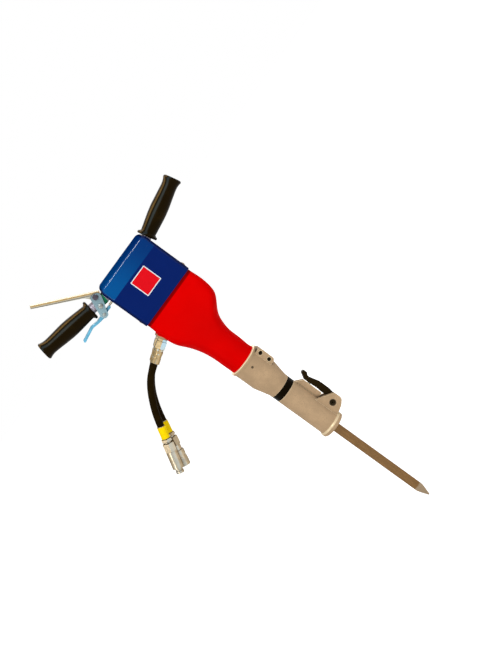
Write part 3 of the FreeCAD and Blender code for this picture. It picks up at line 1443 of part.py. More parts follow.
def cord_path(points):
    """Straight runs joined by tangent arcs, each as large as its two runs allow, with the radii."""
    edges = []
    radii = []
    at = points[0]
    for i in range(1, len(points) - 1):
        back = points[i - 1] - points[i]
        ahead = points[i + 1] - points[i]
        shorter = min(back.Length, ahead.Length)
        half_turn = (math.pi - back.getAngle(ahead)) / 2
        reach = 0.45 * shorter
        radius = reach / math.tan(half_turn)
        radii.append(radius)
        back.normalize()
        ahead.normalize()
        arc_start = points[i] + back * reach
        arc_end = points[i] + ahead * reach
        inward = back + ahead
        inward.normalize()
        centre = points[i] + inward * (radius / math.cos(half_turn))
        edges.append(Part.LineSegment(at, arc_start).toShape())
        edges.append(Part.Arc(arc_start, centre - inward * radius, arc_end).toShape())
        at = arc_end
    edges.append(Part.LineSegment(at, points[-1]).toShape())
    return Part.Wire(edges), radii


def hose(place):
    points = hose_points(place)
    path, radii = cord_path(points)
    direction = points[1] - points[0]
    profile = Part.Wire(Part.makeCircle(hose_radius, points[0], direction))
    solid = path.makePipeShell([profile], True, False)
    expected = math.pi * hose_radius ** 2 * path.Length
    print(f"hose {place}: length {path.Length:.1f}, radii {[round(r) for r in radii]}, "
          f"volume share {solid.Volume / expected:.4f}")
    return solid


def hose_end(place):
    points = hose_points(place)
    direction = points[-1] - points[-2]
    direction.normalize()
    return points[-1], direction


def end_ferrule(place):
    base, direction = hose_end(place)
    return aimed(crimped(end_ferrule_radius, end_ferrule_length, ferrule_crimp_depth), base, direction)


def hose_tag(place):
    """Plain wrap-round tag on the lower ferrule."""
    base, direction = hose_end(place)
    wrap = tube(end_ferrule_radius + running_fit + tag_thickness, end_ferrule_radius + running_fit,
                end_ferrule_length - 2 * tag_end_gap)
    return aimed(wrap, base + direction * tag_end_gap, direction)


def coupling_base(place):
    base, direction = hose_end(place)
    return base + direction * end_ferrule_length, direction


def coupling_root():
    """Swivel collar, neck and hexagon that both couplings start with, along +Z."""
    collar = chamfered_hexagon(2 * coupling_collar_radius, coupling_collar_length)
    neck = Part.makeCylinder(coupling_neck_radius, coupling_neck_length, V(0, 0, coupling_collar_length))
    hexed = chamfered_hexagon(coupling_flats, coupling_hex_length)
    hexed.translate(V(0, 0, coupling_collar_length + coupling_neck_length))
    return [collar, neck, hexed]


def coupling_front():
    return coupling_collar_length + coupling_neck_length + coupling_hex_length


def coupling_female():
    """Flat-face socket: bore for the nipple, with a valve face set in its floor."""
    front = coupling_front()
    barrel = Part.makeCylinder(female_barrel_radius, female_barrel_length, V(0, 0, front))
    body = fused(coupling_root() + [barrel])
    mouth = front + female_barrel_length
    floor = mouth - female_bore_depth
    bore = Part.makeCylinder(female_bore_radius, female_bore_depth + overrun, V(0, 0, floor))
    groove = ring_between(female_face_radius + female_face_groove_width, female_face_radius,
                          floor - female_face_groove_depth, floor + overrun)
    base, direction = coupling_base(1)
    return aimed(body.cut(bore).cut(groove), base, direction)


def coupling_sleeve():
    """Locking sleeve on the socket, pulled back towards the hose to let the nipple go."""
    start = coupling_front() + female_barrel_length - female_sleeve_length
    bore = female_barrel_radius + running_fit
    length = female_sleeve_length
    profile = [(bore, 0, 0), (female_sleeve_radius, 0, edge_break), (female_sleeve_radius, length * 0.3, 0),
               (female_sleeve_radius - edge_break, length * 0.34, 0),
               (female_sleeve_radius - edge_break, length * 0.42, 0), (female_sleeve_radius, length * 0.46, 0),
               (female_sleeve_radius, length, 2 * edge_break), (bore, length, 0)]
    base, direction = coupling_base(1)
    return aimed(turned(profile), base + direction * start, direction)


def coupling_male():
    """Flat-face nipple: shoulder, locking groove and flat nose."""
    front = coupling_front()
    flange = Part.makeCylinder(male_flange_radius, male_flange_length, V(0, 0, front))
    start = front + male_flange_length
    nose = Part.makeCylinder(male_nose_radius, male_nose_length, V(0, 0, start))
    body = fused(coupling_root() + [flange, nose])
    tip = start + male_nose_length
    groove_top = tip - male_groove_back
    groove = ring_between(male_nose_radius + overrun, male_nose_radius - male_groove_depth,
                          groove_top - male_groove_width, groove_top)
    dish = tube(male_nose_radius * 0.7, male_nose_radius * 0.62, coupling_face_dish + overrun)
    dish.translate(V(0, 0, tip - coupling_face_dish))
    base, direction = coupling_base(-1)
    return aimed(body.cut(groove).cut(dish), base, direction)


PIECES = {
    "hood": hood,
    "handle_yoke": handle_yoke,
    "handle_tube_left": lambda: handle_tube(-1),
    "handle_tube_right": lambda: handle_tube(1),
    "grip_left": lambda: grip(-1),
    "grip_right": lambda: grip(1),
    "tube_sleeve": tube_sleeve,
    "guide_shoes": guide_shoes,
    "hood_screws": hood_screws,
    "damper_buffers": damper_buffers,
    "main_casing": main_casing,
    "valve_block": valve_block,
    "valve_block_screws": valve_block_screws,
    "valve_spool": valve_spool,
    "spool_spring": spool_spring,
    "valve_plug": valve_plug,
    "accumulator_diaphragm": accumulator_diaphragm,
    "accumulator_cover": accumulator_cover,
    "reversing_sleeve": reversing_sleeve,
    "reversing_valve": reversing_valve,
    "cylinder_liner": cylinder_liner,
    "liner_seals": liner_seals,
    "piston": piston,
    "rod_seal": rod_seal,
    "front_head": front_head,
    "clamp_screws": clamp_screws,
    "joint_band": joint_band,
    "latch_housing": latch_housing,
    "tool_bushing": tool_bushing,
    "bushing_pin": bushing_pin,
    "latch_detent": latch_detent,
    "latch_pin": latch_pin,
    "latch_lever": latch_lever,
    "chisel": chisel,
    "trigger_arm": trigger_arm,
    "cheek_plate_front": lambda: cheek_plate(-1),
    "cheek_plate_back": lambda: cheek_plate(1),
    "trigger_pivot_pin": trigger_pivot_pin,
    "pivot_bushes": pivot_bushes,
    "arm_bolt": arm_bolt,
    "catch_rivet": catch_rivet,
    "safety_catch": safety_catch,
    "plunger": plunger,
    "hose_adapter_front": lambda: hose_adapter(-1),
    "hose_adapter_back": lambda: hose_adapter(1),
    "hose_nut_front": lambda: hose_nut(-1),
    "hose_nut_back": lambda: hose_nut(1),
    "hose_ferrule_front": lambda: hose_ferrule(-1),
    "hose_ferrule_back": lambda: hose_ferrule(1),
    "hose_front": lambda: hose(-1),
    "hose_back": lambda: hose(1),
    "end_ferrule_front": lambda: end_ferrule(-1),
    "end_ferrule_back": lambda: end_ferrule(1),
    "hose_tag_front": lambda: hose_tag(-1),
    "hose_tag_back": lambda: hose_tag(1),
    "coupling_female": coupling_female,
    "coupling_sleeve": coupling_sleeve,
    "coupling_male": coupling_male,
}


def main():
    os.makedirs("parts", exist_ok=True)
    for name, build in PIECES.items():
        shape = build()
        solids = shape.Solids
        if not shape.isValid() or not solids:
            print(f"{name}: not a valid solid")
        print(f"{name}: {len(solids)} solids, {sum(s.Volume for s in solids) / 1000:.1f} cm3, "
              f"box {[round(v, 1) for v in (shape.BoundBox.XMin, shape.BoundBox.XMax)]} "
              f"{[round(v, 1) for v in (shape.BoundBox.YMin, shape.BoundBox.YMax)]} "
              f"{[round(v, 1) for v in (shape.BoundBox.ZMin, shape.BoundBox.ZMax)]}")
        shape.exportStep(f"parts/{name}.step")


main()
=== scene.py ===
"""Looks of a handheld hydraulic breaker, laid out as an add-on and run as a script.

Metres, in the packed part's frame: Z up along the tool, X along the handles, front towards -Y.
"""
import math

import bmesh
import bpy
from bpy.props import FloatProperty, FloatVectorProperty, IntProperty, PointerProperty
from mathutils import Matrix, Vector


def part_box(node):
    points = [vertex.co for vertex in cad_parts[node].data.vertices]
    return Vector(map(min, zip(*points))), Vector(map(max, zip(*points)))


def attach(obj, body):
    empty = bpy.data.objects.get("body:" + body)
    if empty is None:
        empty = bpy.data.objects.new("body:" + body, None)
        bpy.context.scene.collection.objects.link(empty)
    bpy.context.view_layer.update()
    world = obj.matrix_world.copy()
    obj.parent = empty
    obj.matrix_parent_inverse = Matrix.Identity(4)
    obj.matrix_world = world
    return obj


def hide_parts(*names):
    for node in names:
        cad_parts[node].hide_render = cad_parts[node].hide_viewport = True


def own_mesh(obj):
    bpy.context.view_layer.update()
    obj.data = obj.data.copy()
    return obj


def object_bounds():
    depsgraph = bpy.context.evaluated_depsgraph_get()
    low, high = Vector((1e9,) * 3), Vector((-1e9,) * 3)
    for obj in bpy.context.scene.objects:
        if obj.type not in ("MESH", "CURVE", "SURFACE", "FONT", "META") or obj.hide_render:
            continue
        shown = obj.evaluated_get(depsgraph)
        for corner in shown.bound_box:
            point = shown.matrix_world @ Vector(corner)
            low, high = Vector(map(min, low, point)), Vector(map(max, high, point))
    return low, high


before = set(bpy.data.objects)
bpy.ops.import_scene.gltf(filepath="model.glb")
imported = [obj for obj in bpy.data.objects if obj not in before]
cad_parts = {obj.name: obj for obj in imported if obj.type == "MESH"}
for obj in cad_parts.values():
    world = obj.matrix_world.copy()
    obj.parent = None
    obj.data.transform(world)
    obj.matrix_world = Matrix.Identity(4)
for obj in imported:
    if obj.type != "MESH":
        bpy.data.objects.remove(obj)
CAD_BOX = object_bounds()

bl_info = {
    "name": "Hydraulic Breaker Looks",
    "version": (1, 0, 0),
    "blender": (4, 5, 0),
    "location": "3D View > Sidebar > Breaker",
    "description": "Dresses the packed hydraulic breaker with finishes, hoses and small details",
    "category": "Object",
}

# Hose routes from the upper ferrule's end to the lower ferrule
FRONT_HOSE_ROUTE = [
    (-0.12919, -0.0240, -0.20705), (-0.14819, -0.0240, -0.21304), (-0.1695, -0.0235, -0.2245),
    (-0.1910, -0.0230, -0.2425), (-0.2140, -0.0220, -0.2675), (-0.2320, -0.0210, -0.2915),
    (-0.2425, -0.0205, -0.3090),
]
BACK_HOSE_ROUTE = [
    (-0.12788, 0.0240, -0.21079), (-0.14679, 0.0240, -0.21805), (-0.1690, 0.0235, -0.2320),
    (-0.1910, 0.0230, -0.2520), (-0.2105, 0.0220, -0.2770), (-0.2245, 0.0210, -0.2995),
    (-0.2320, 0.0205, -0.3135),
]

# Trigger arm: its slope at rest, its depth at the root, the slope of its taper, and its root from the pivot
ARM_PITCH = math.radians(42.3)
ARM_DEPTH = 0.0097
ARM_TAPER = 0.0082
ARM_ROOT = Vector((0.0233, 0.0, 0.0190))

# Hood: its crease below the crown, and the left tube's axis and weld bead
CREASE_DROP = 0.0402
TUBE_AXIS_Z = -0.02286
WELD_RADIUS = 0.0139
WELD_RIPPLE = (0.0034, 0.0040, 0.0030)

# Thread on the arm bolt: its start past the cheek, what stays bare at its end, and its radii
THREAD_START = 0.0066
THREAD_BARE = 0.0008
THREAD_RADIUS = 0.0038
THREAD_RIDGE = 0.0004

# Castings: rims from the head's top, the nose's end and the origin, the head's dent, the latch pin's
# recesses; the dent and the recesses are darkened as painted shade
HEAD_RIM = (-0.0022, 0.0010)
# The nose's turned rim lies on the bead's upper flank; its bright colour is also a painted highlight where
# light from above falls
NOSE_RIM_AND_HIGHLIGHT = (0.0095, 0.0148)
BLOCK_RIM = (-0.0270, -0.0255)
HEAD_DENT = (-0.0007, 0.0026, -0.4006)
HEAD_DENT_RADIUS = 0.0032
PIN_RECESS_Y = 0.020
PIN_RECESS_RADIUS = 0.0088

# Height to which the chisel's point is ground
GROUND_POINT = 0.040

# Hose ends: reach back to the port's face and on to the socket's mouth, with the mouth's knurls and balls
PORT_REACH = 0.062
PORT_FACE_RADIUS = 0.0155
MOUTH_REACH = 0.033 + 0.033 + 0.055
KNURL_RADIUS = 0.0149
KNURL = (0.0008, 0.0016, 0.0090)
KNURL_SETBACK = 0.0130
BALL_RING_RADIUS = 0.0103
BALL = (0.0040, 0.0040, 0.0040)
BALL_SETBACK = 0.0060

# Half the width over which a mask fades at its edge, and the strip below the hood painted with shadow and
# grime
MARK_EDGE = 0.0002
CREASE_EDGE = 0.0006
RIM_EDGE = 0.0004
GRIND_EDGE = 0.002
FRAME_EDGE = 0.0001
SHADOW_GRIME_LOW = 0.0096
SHADOW_GRIME_HIGH = 0.0066

# Reflection tint of the plated and turned metals
METAL_TINT = (0.16, 0.10, 0.06, 1.0)


def number_setting(name, description, value, **kind):
    return FloatProperty(name=name, description=description, default=value, min=0.0, **kind)


def colour_setting(name, description, value):
    return FloatVectorProperty(name=name, description=description, default=value, size=3, min=0.0, max=1.0,
                               subtype="COLOR")


def length_setting(name, description, value):
    return number_setting(name, description, value, subtype="DISTANCE", unit="LENGTH", precision=5)


def angle_setting(name, description, degrees):
    return FloatProperty(name=name, description=description, default=math.radians(degrees), subtype="ANGLE",
                         unit="ROTATION")


def power_setting(name, description, value):
    return number_setting(name, description, value, subtype="POWER", unit="POWER")


def count_setting(name, description, value, least):
    return IntProperty(name=name, description=description, default=value, min=least)


class BreakerStudio(bpy.types.PropertyGroup):
    """Camera, lamps and floor."""
    aim: FloatVectorProperty(name="Aim", description="Point that the camera looks at",
                             default=(0.06096, 0.0, -0.35573), size=3, subtype="TRANSLATION", unit="LENGTH")
    distance: length_setting("Distance", "Camera's distance from its aim", 3.72)
    fall: angle_setting("Fall", "How far the camera looks down", 11.0)
    roll: angle_setting("Roll", "How far the camera is rolled, to lay the tool across the picture", 53.98)
    lens: number_setting("Lens", "Focal length in millimetres on a 36 mm sensor", 83.66)
    ambient: number_setting("Ambient", "Strength of the sky for matt surfaces", 0.34)
    key_power: power_setting("Key", "Power of the main lamp, high in front, in watts", 28.0)
    left_power: power_setting("Left", "Power of the lamp on the left in watts", 16.0)
    right_power: power_setting("Right", "Power of the lamp on the right in watts", 12.0)
    back_power: power_setting("Back", "Power of the lamp behind in watts", 30.0)
    floor_colour: colour_setting("Floor", "Colour of the floor", (0.90, 0.90, 0.90))


class BreakerColours(bpy.types.PropertyGroup):
    """Colours of the finishes, in linear light."""
    hood: colour_setting("Hood", "Enamel on the hood", (0.0, 0.012, 0.118))
    # The two band colours are painted light: the sloping upper band is painted lighter, as light from above
    # shows it, and darker towards its right end
    hood_band: colour_setting("Hood band", "Enamel on the hood's sloping upper band", (0.0, 0.078, 0.270))
    hood_lit_band_far: colour_setting("Hood band, far end", "The same enamel at the band's right end",
                                  (0.0, 0.029, 0.158))
    casing: colour_setting("Casing", "Enamel on the main casing", (0.70, 0.0, 0.0))
    casting: colour_setting("Casting", "Bare casting of head and nose", (0.490, 0.335, 0.195))
    machined: colour_setting("Machined rim", "Turned rims on the castings", (0.95, 0.80, 0.52))
    zinc: colour_setting("Zinc", "Bright plating on the small steel parts", (0.30, 0.44, 0.49))
    arm: colour_setting("Arm", "Yellow-tinted plating on the trigger arm", (0.45, 0.32, 0.14))
    fitting: colour_setting("Fittings", "Passivated plating on the hose fittings", (0.50, 0.37, 0.19))
    coupling: colour_setting("Couplings", "Nickel finish on the couplings", (0.47, 0.375, 0.245))
    latch: colour_setting("Latch", "Blackened forging", (0.014, 0.0075, 0.0012))
    chisel: colour_setting("Chisel", "Rolled, lightly scaled steel", (0.210, 0.116, 0.046))
    rubber: colour_setting("Rubber", "Grips, buffers and band", (0.0078, 0.0042, 0.0005))
    hose: colour_setting("Hose", "Hose cover", (0.0095, 0.0052, 0.0010))
    catch: colour_setting("Catch", "Moulded finger catch", (0.155, 0.46, 0.65))
    sleeve: colour_setting("Sleeve", "Moulded sleeve on the left tube", (0.02, 0.30, 0.14))
    tag: colour_setting("Tag", "Film tags on the hoses", (0.95, 0.68, 0.0))
    plate_field: colour_setting("Plate field", "Middle of the bare plate", (0.70, 0.004, 0.010))
    plate_frame: colour_setting("Plate frame", "Border of the bare plate", (0.72, 0.78, 0.80))


class BreakerHoses(bpy.types.PropertyGroup):
    """Sizes of the two hose tails."""
    diameter: length_setting("Diameter", "Outside of the hose", 0.0174)
    front_length: length_setting("Front length", "Hose between its ferrules, front tail", 0.1564)
    back_length: length_setting("Back length", "Hose between its ferrules, back tail", 0.1501)


class BreakerPlate(bpy.types.PropertyGroup):
    """Bare plate on the hood's front."""
    centre_x: length_setting("Centre X", "Middle of the plate along the handles", 0.0175)
    centre_drop: length_setting("Centre drop", "Middle of the plate below the frame's origin", 0.0715)
    width: length_setting("Width", "Side of the square plate", 0.0520)
    thickness: length_setting("Thickness", "How far the plate stands proud", 0.0005)
    corner: length_setting("Corner", "Rounding of the plate's corners", 0.0020)
    border: length_setting("Border", "Width of the pale frame", 0.0022)


class BreakerDetails(bpy.types.PropertyGroup):
    """Counts and sizes of the small repeated details."""
    knurl_count: count_setting("Knurls", "Grip ridges round the locking sleeve", 32, 6)
    ball_count: count_setting("Balls", "Locking balls in the socket's mouth", 8, 3)
    weld_count: count_setting("Weld ripples", "Ripples in the bead round the left tube", 34, 8)
    thread_pitch: length_setting("Thread pitch", "Pitch of the arm bolt's thread", 0.00125)


# Nodes for materials and for shapes

def feed(socket, value):
    """Links an input to another node's output, or gives it a value."""
    if isinstance(value, bpy.types.NodeSocket):
        socket.id_data.links.new(value, socket)
    else:
        socket.default_value = value


def set_inputs(node, **values):
    """Feeds a node's inputs by name; an underscore in a name stands for a space."""
    for name, value in values.items():
        feed(node.inputs[name.replace("_", " ")], value)
    return node


def node_with(tree, kind, **values):
    return set_inputs(tree.nodes.new(kind), **values)


def coordinate(tree, name):
    return tree.nodes.new("ShaderNodeTexCoord").outputs[name]


def new_material(name):
    """A material with its shader and the object coordinates."""
    material = bpy.data.materials.new(name)
    material.use_nodes = True
    tree = material.node_tree
    return material, tree.nodes["Principled BSDF"], coordinate(tree, "Object")


def stretched(place, scale=(1.0, 1.0, 1.0), turn=(0.0, 0.0, 0.0), move=(0.0, 0.0, 0.0)):
    mapping = node_with(place.id_data, "ShaderNodeMapping", Vector=place, Scale=scale, Rotation=turn,
                        Location=move)
    return mapping.outputs["Vector"]


def noise(place, scale, detail=4.0, roughness=0.55):
    texture = node_with(place.id_data, "ShaderNodeTexNoise", Vector=place, Scale=scale,
                        Detail=detail, Roughness=roughness)
    return texture.outputs["Fac"]


def cells(place, scale):
    return node_with(place.id_data, "ShaderNodeTexVoronoi", Vector=place, Scale=scale).outputs["Distance"]


def graded(value, low, high, start=0.0, end=1.0):
    """Value between low and high, spread smoothly over start to end."""
    spread = node_with(value.id_data, "ShaderNodeMapRange", Value=value, From_Min=low, From_Max=high,
                       To_Min=start, To_Max=end)
    spread.interpolation_type = "SMOOTHSTEP"
    return spread.outputs["Result"]


def combined(operation, first, second, kind="ShaderNodeMath", output="Value"):
    """Result of an operation on two values, of which one or both are sockets."""
    known = first if isinstance(first, bpy.types.NodeSocket) else second
    maths = known.id_data.nodes.new(kind)
    maths.operation = operation
    feed(maths.inputs[0], first)
    feed(maths.inputs[1], second)
    return maths.outputs[output]


def product(first, second):
    return combined("MULTIPLY", first, second)


def between(value, rising, falling):
    """One in the middle: the value rises over the first span and falls over the second."""
    return product(graded(value, *rising), graded(value, *falling, 1.0, 0.0))


def of_vectors(operation, first, second, output="Value"):
    return combined(operation, first, second, "ShaderNodeVectorMath", output)


def mixed(factor, first, second):
    """Colour between first and second, each a colour or a socket."""
    mix = node_with(factor.id_data, "ShaderNodeMix", Factor=factor)
    mix.data_type = "RGBA"
    for socket, value in ((mix.inputs[6], first), (mix.inputs[7], second)):
        feed(socket, value if isinstance(value, bpy.types.NodeSocket) else (*value, 1.0))
    return mix.outputs[2]


def stained(base, mask, strength, colour):
    """Base with a colour laid over it, at a strength, where the mask is one."""
    return mixed(product(mask, strength), base, colour)


def shade(colour, share):
    return tuple(min(1.0, part * share) for part in colour)


def toned(value, colour, low, high):
    """Colour between two shades of itself."""
    return mixed(value, shade(colour, low), shade(colour, high))


def relief(shader, *layers):
    """Bumps laid over each other, each a height, its strength and its depth in metres."""
    tree = shader.id_data
    normal = None
    for height, strength, depth in layers:
        bump = node_with(tree, "ShaderNodeBump", Strength=strength, Distance=depth, Height=height)
        if normal:
            tree.links.new(normal, bump.inputs["Normal"])
        normal = bump.outputs["Normal"]
    tree.links.new(normal, shader.inputs["Normal"])


def axis_value(place, axis):
    return node_with(place.id_data, "ShaderNodeSeparateXYZ", Vector=place).outputs[axis]


def shaded_corners(place, reach, alone=True):
    """One deep in the inner corners of a piece and nought out in the open, from ambient occlusion, for
    painted shade there.
    """
    shelter = node_with(place.id_data, "ShaderNodeAmbientOcclusion", Distance=reach)
    shelter.samples = 8
    shelter.only_local = alone
    return graded(shelter.outputs["AO"], 0.55, 0.92, 1.0, 0.0)


def facet_reflection_tones(place, seed):
    """Value that changes from facet to facet and round a barrel, used to paint reflections on metal."""
    normal = coordinate(place.id_data, "Normal")
    normal = stretched(normal, (1.6, 1.6, 1.6), move=(seed, 0.0, 0.0))
    added = of_vectors("ADD", normal, stretched(place, (5.0, 5.0, 5.0)), "Vector")
    return noise(added, 1.0, 1.0)


def facing(place, low, high, spread):
    """One where the surface faces up by a share between low and high, fading within the spread."""
    rise = axis_value(coordinate(place.id_data, "Normal"), 2)
    return between(rise, (low - spread, low), (high, high + spread))


def near(place, centre, radius):
    """One within a radius of a point."""
    away = of_vectors("DISTANCE", place, centre)
    return graded(away, radius - MARK_EDGE, radius + MARK_EDGE, 1.0, 0.0)


def worn_edges(place, radius):
    """One along the sharp edges of a piece and nought on its faces."""
    tree = place.id_data
    rounded = node_with(tree, "ShaderNodeBevel", Radius=radius)
    rounded.samples = 6
    flat = tree.nodes.new("ShaderNodeNewGeometry").outputs["True Normal"]
    across = of_vectors("DOT_PRODUCT", rounded.outputs["Normal"], flat)
    return graded(across, 0.88, 0.99, 1.0, 0.0)


def along_line(place, start, direction):
    """Distance from a start along a direction."""
    reach = of_vectors("DOT_PRODUCT", place, direction)
    return combined("SUBTRACT", reach, Vector(start).dot(direction))


# Finishes of this breaker

def enamel(name, colour, gloss, lit_band_colours=None, crease_z=0.0, eave_z=None, ports=()):
    """Enamel with clouding and scuffs; grained as cast, bare at its ports, with painted shadow and grime
    under the eave.
    """
    material, shader, place = new_material(name)
    base = toned(noise(place, 14.0, 5.0), colour, 0.88, 1.10)
    coat = gloss
    # Painted light: above the crease the sloping faces are painted lighter, fading from left to right, as
    # light from above would show them
    if lit_band_colours:
        along = graded(axis_value(place, 0), -0.06, 0.10)
        above = graded(axis_value(place, 2), crease_z - CREASE_EDGE, crease_z + CREASE_EDGE)
        sloping = graded(facing(place, -1.0, 0.50, 0.16), 0.0, 1.0, 0.55)
        base = mixed(product(above, sloping), base, mixed(along, *lit_band_colours))
        # Painted shade: the hood's side roundings, turned away across X, are painted darker
        across = axis_value(coordinate(place.id_data, "Normal"), 0)
        side_shade = graded(product(across, across), 0.04, 0.40)
        base = mixed(side_shade, base, shade(colour, 0.55))
        crown = graded(facing(place, 0.34, 0.60, 0.10), 0.0, 1.0, gloss, 0.26)
        coat = product(crown, facing(place, -1.0, 0.64, 0.12))
    scuffs = graded(noise(stretched(place, (1.0, 1.0, 5.0)), 90.0, 8.0, 0.7), 0.66, 0.74)
    base = stained(base, scuffs, 0.06, (0.55, 0.55, 0.55))
    layers = [(noise(place, 650.0, 2.0), 0.03, 0.00008)]
    if eave_z is not None:
        # Painted shadow under the hood's lower edge, with some grime: a darker strip just below the eave
        shadow_and_grime = graded(axis_value(place, 2), eave_z - SHADOW_GRIME_LOW, eave_z - SHADOW_GRIME_HIGH)
        base = mixed(shadow_and_grime, base, shade(colour, 0.36))
        layers.append((noise(place, 260.0, 3.0), 0.35, 0.00035))
    for port in ports:
        base = mixed(near(place, port, PORT_FACE_RADIUS), base, (0.42, 0.30, 0.17))
    roughness = graded(noise(place, 45.0, 6.0), 0.30, 0.72, 0.30, 0.44)
    set_inputs(shader, Base_Color=base, Roughness=roughness, Specular_IOR_Level=0.0, Coat_Weight=coat,
               Coat_Roughness=0.06)
    relief(shader, *layers)
    return material


def casting(name, colour, machined, rim, shaded_dents=(), brightness=1.0):
    """Bare sand casting: grain, pits and stains, painted shade in its inner corners and at given dents, with
    a turned rim between two heights.
    """
    material, shader, place = new_material(name)
    stains = noise(place, 24.0, 6.0, 0.6)
    base = toned(graded(stains, 0.32, 0.70), colour, 0.90, 1.10)
    grain = noise(place, 520.0, 4.0, 0.65)
    base = mixed(graded(grain, 0.34, 0.46, 1.0, 0.0), base, shade(colour, 0.80))
    specks = graded(cells(place, 210.0), 0.05, 0.16, 1.0, 0.0)
    base = stained(base, specks, 0.30, shade(colour, 0.40))
    base = mixed(worn_edges(place, 0.0024), base, machined)
    # Painted shade: the inner corners darkened by ambient occlusion
    base = stained(base, shaded_corners(place, 0.010), 0.95, shade(colour, 0.26))
    # Painted shade: darker spots at the head's dent and at the latch pin's recesses
    for dent, radius in shaded_dents:
        base = mixed(near(place, dent, radius), base, shade(colour, 0.20))
    height = axis_value(place, 2)
    low, high = rim
    turned = between(height, (low - RIM_EDGE, low + RIM_EDGE), (high - RIM_EDGE, high + RIM_EDGE))
    turned = product(turned, brightness)
    lines = noise(stretched(place, (1.0, 1.0, 60.0)), 60.0, 3.0)
    bright = mixed(lines, shade(machined, 0.78), machined)
    matt = graded(stains, 0.30, 0.75, 0.52, 0.68)
    set_inputs(shader, Base_Color=mixed(turned, base, bright), Metallic=product(turned, 0.55),
               Roughness=combined("SUBTRACT", matt, product(turned, 0.26)), Specular_IOR_Level=0.08)
    rough = combined("SUBTRACT", 1.0, turned)
    relief(shader, (product(grain, rough), 0.55, 0.00045),
           (product(specks, rough), -0.35, 0.00030), (product(lines, turned), 0.20, 0.00008))
    return material


def painted_reflections_and_shade(place, base, colour, contrast, seed, deep, cool_span, cool, dirt):
    """Base tinted from facet to facet, darker or bluer, as painted reflections, and darkened in its corners
    as painted shade.
    """
    tones = facet_reflection_tones(place, seed)
    base = stained(base, graded(tones, 0.36, 0.50, 1.0, 0.0), contrast, shade(colour, deep))
    base = stained(base, graded(tones, *cool_span), contrast, cool)
    return stained(base, shaded_corners(place, 0.003, alone=False), contrast, shade(colour, dirt))


def plated(name, colour, tint, roughness=0.30, metal=0.85, contrast=0.75, seed=0.0):
    """Plated steel with clouds and handling marks, painted reflections that tint each facet, and painted
    shade in its corners.
    """
    material, shader, place = new_material(name)
    clouds = graded(noise(place, 85.0, 5.0, 0.6), 0.35, 0.68)
    base = mixed(clouds, colour, tint)
    base = painted_reflections_and_shade(place, base, colour, contrast, seed, 0.30, (0.54, 0.62), (0.36, 0.52, 0.60), 0.16)
    marks = graded(noise(stretched(place, (1.0, 1.0, 4.0)), 160.0, 5.0, 0.7), 0.60, 0.72)
    base = stained(base, marks, 0.22, shade(colour, 0.50))
    set_inputs(shader, Base_Color=base, Metallic=metal, Specular_Tint=METAL_TINT,
               Roughness=graded(clouds, 0.0, 1.0, roughness - 0.04, roughness + 0.06))
    relief(shader, (noise(place, 300.0, 3.0), 0.05, 0.00005), (marks, -0.06, 0.00004))
    return material


def turned_metal(name, colour, turn=(0.0, 0.0, 0.0), roughness=0.28, contrast=0.5, seed=0.0):
    """Turned metal, with lathe lines across its own axis."""
    material, shader, place = new_material(name)
    lines = noise(stretched(place, (1.0, 1.0, 30.0), turn), 120.0, 4.0, 0.7)
    clouds = noise(place, 60.0, 5.0)
    base = toned(lines, colour, 0.72, 1.12)
    base = mixed(graded(clouds, 0.45, 0.75), base, shade(colour, 0.70))
    # Painted reflections on each facet and round the barrel, and painted shade in the corners
    base = painted_reflections_and_shade(place, base, colour, contrast, seed, 0.36, (0.53, 0.60), (0.34, 0.46, 0.50), 0.22)
    set_inputs(shader, Base_Color=base, Metallic=0.95, Specular_Tint=METAL_TINT,
               Roughness=graded(clouds, 0.3, 0.7, roughness - 0.05, roughness + 0.10))
    relief(shader, (lines, 0.06, 0.00005))
    return material


def forged(name, colour, grind_z=None):
    """Forged or rolled steel with scale and drawn marks; ground brighter below grind_z."""
    material, shader, place = new_material(name)
    scale_marks = noise(stretched(place, (1.0, 1.0, 0.16)), 190.0, 7.0, 0.66)
    base = toned(graded(scale_marks, 0.36, 0.66), colour, 0.88, 1.12)
    patches = graded(noise(place, 55.0, 6.0, 0.62), 0.55, 0.70)
    base = stained(base, patches, 0.3, shade(colour, 0.70))
    roughness = graded(scale_marks, 0.3, 0.7, 0.42, 0.58)
    if grind_z is not None:
        height = axis_value(place, 2)
        ground = graded(height, grind_z - GRIND_EDGE, grind_z + GRIND_EDGE, 1.0, 0.0)
        strokes = noise(stretched(place, (1.0, 1.0, 9.0)), 170.0, 4.0, 0.7)
        bright = mixed(strokes, (0.24, 0.165, 0.100), (0.38, 0.29, 0.19))
        base = mixed(ground, base, bright)
        roughness = combined("SUBTRACT", roughness, product(ground, 0.10))
    set_inputs(shader, Base_Color=base, Metallic=0.5, Roughness=roughness, Specular_IOR_Level=0.06)
    relief(shader, (scale_marks, 0.25, 0.00020), (noise(place, 700.0, 3.0), 0.12, 0.00010))
    return material


def moulded_rubber(name, colour, gloss=0.36, level=0.04, dust_and_highlight=None, painted_sheen=None):
    """Moulded rubber with a fine grain; dust and a painted highlight on what faces up, and a painted cooler
    sheen below that.
    """
    material, shader, place = new_material(name)
    dust = noise(place, 40.0, 6.0, 0.6)
    base = mixed(graded(dust, 0.50, 0.78), colour, shade(colour, 1.9))
    patchy = graded(dust, 0.25, 0.60, 0.62, 1.0)
    # Painted highlight with dust on the upward faces, and a painted cool reflection lower down
    if dust_and_highlight:
        base = stained(base, facing(place, 0.73, 0.80, 0.09), patchy, dust_and_highlight)
    if painted_sheen:
        base = stained(base, facing(place, 0.35, 0.46, 0.13), patchy, painted_sheen)
    set_inputs(shader, Base_Color=base, Specular_IOR_Level=level, Specular_Tint=(1.0, 0.80, 0.56, 1.0),
               Roughness=graded(dust, 0.3, 0.7, gloss - 0.04, gloss + 0.08))
    relief(shader, (noise(place, 1500.0, 2.0), 0.05, 0.00008), (dust, 0.05, 0.0003))
    return material


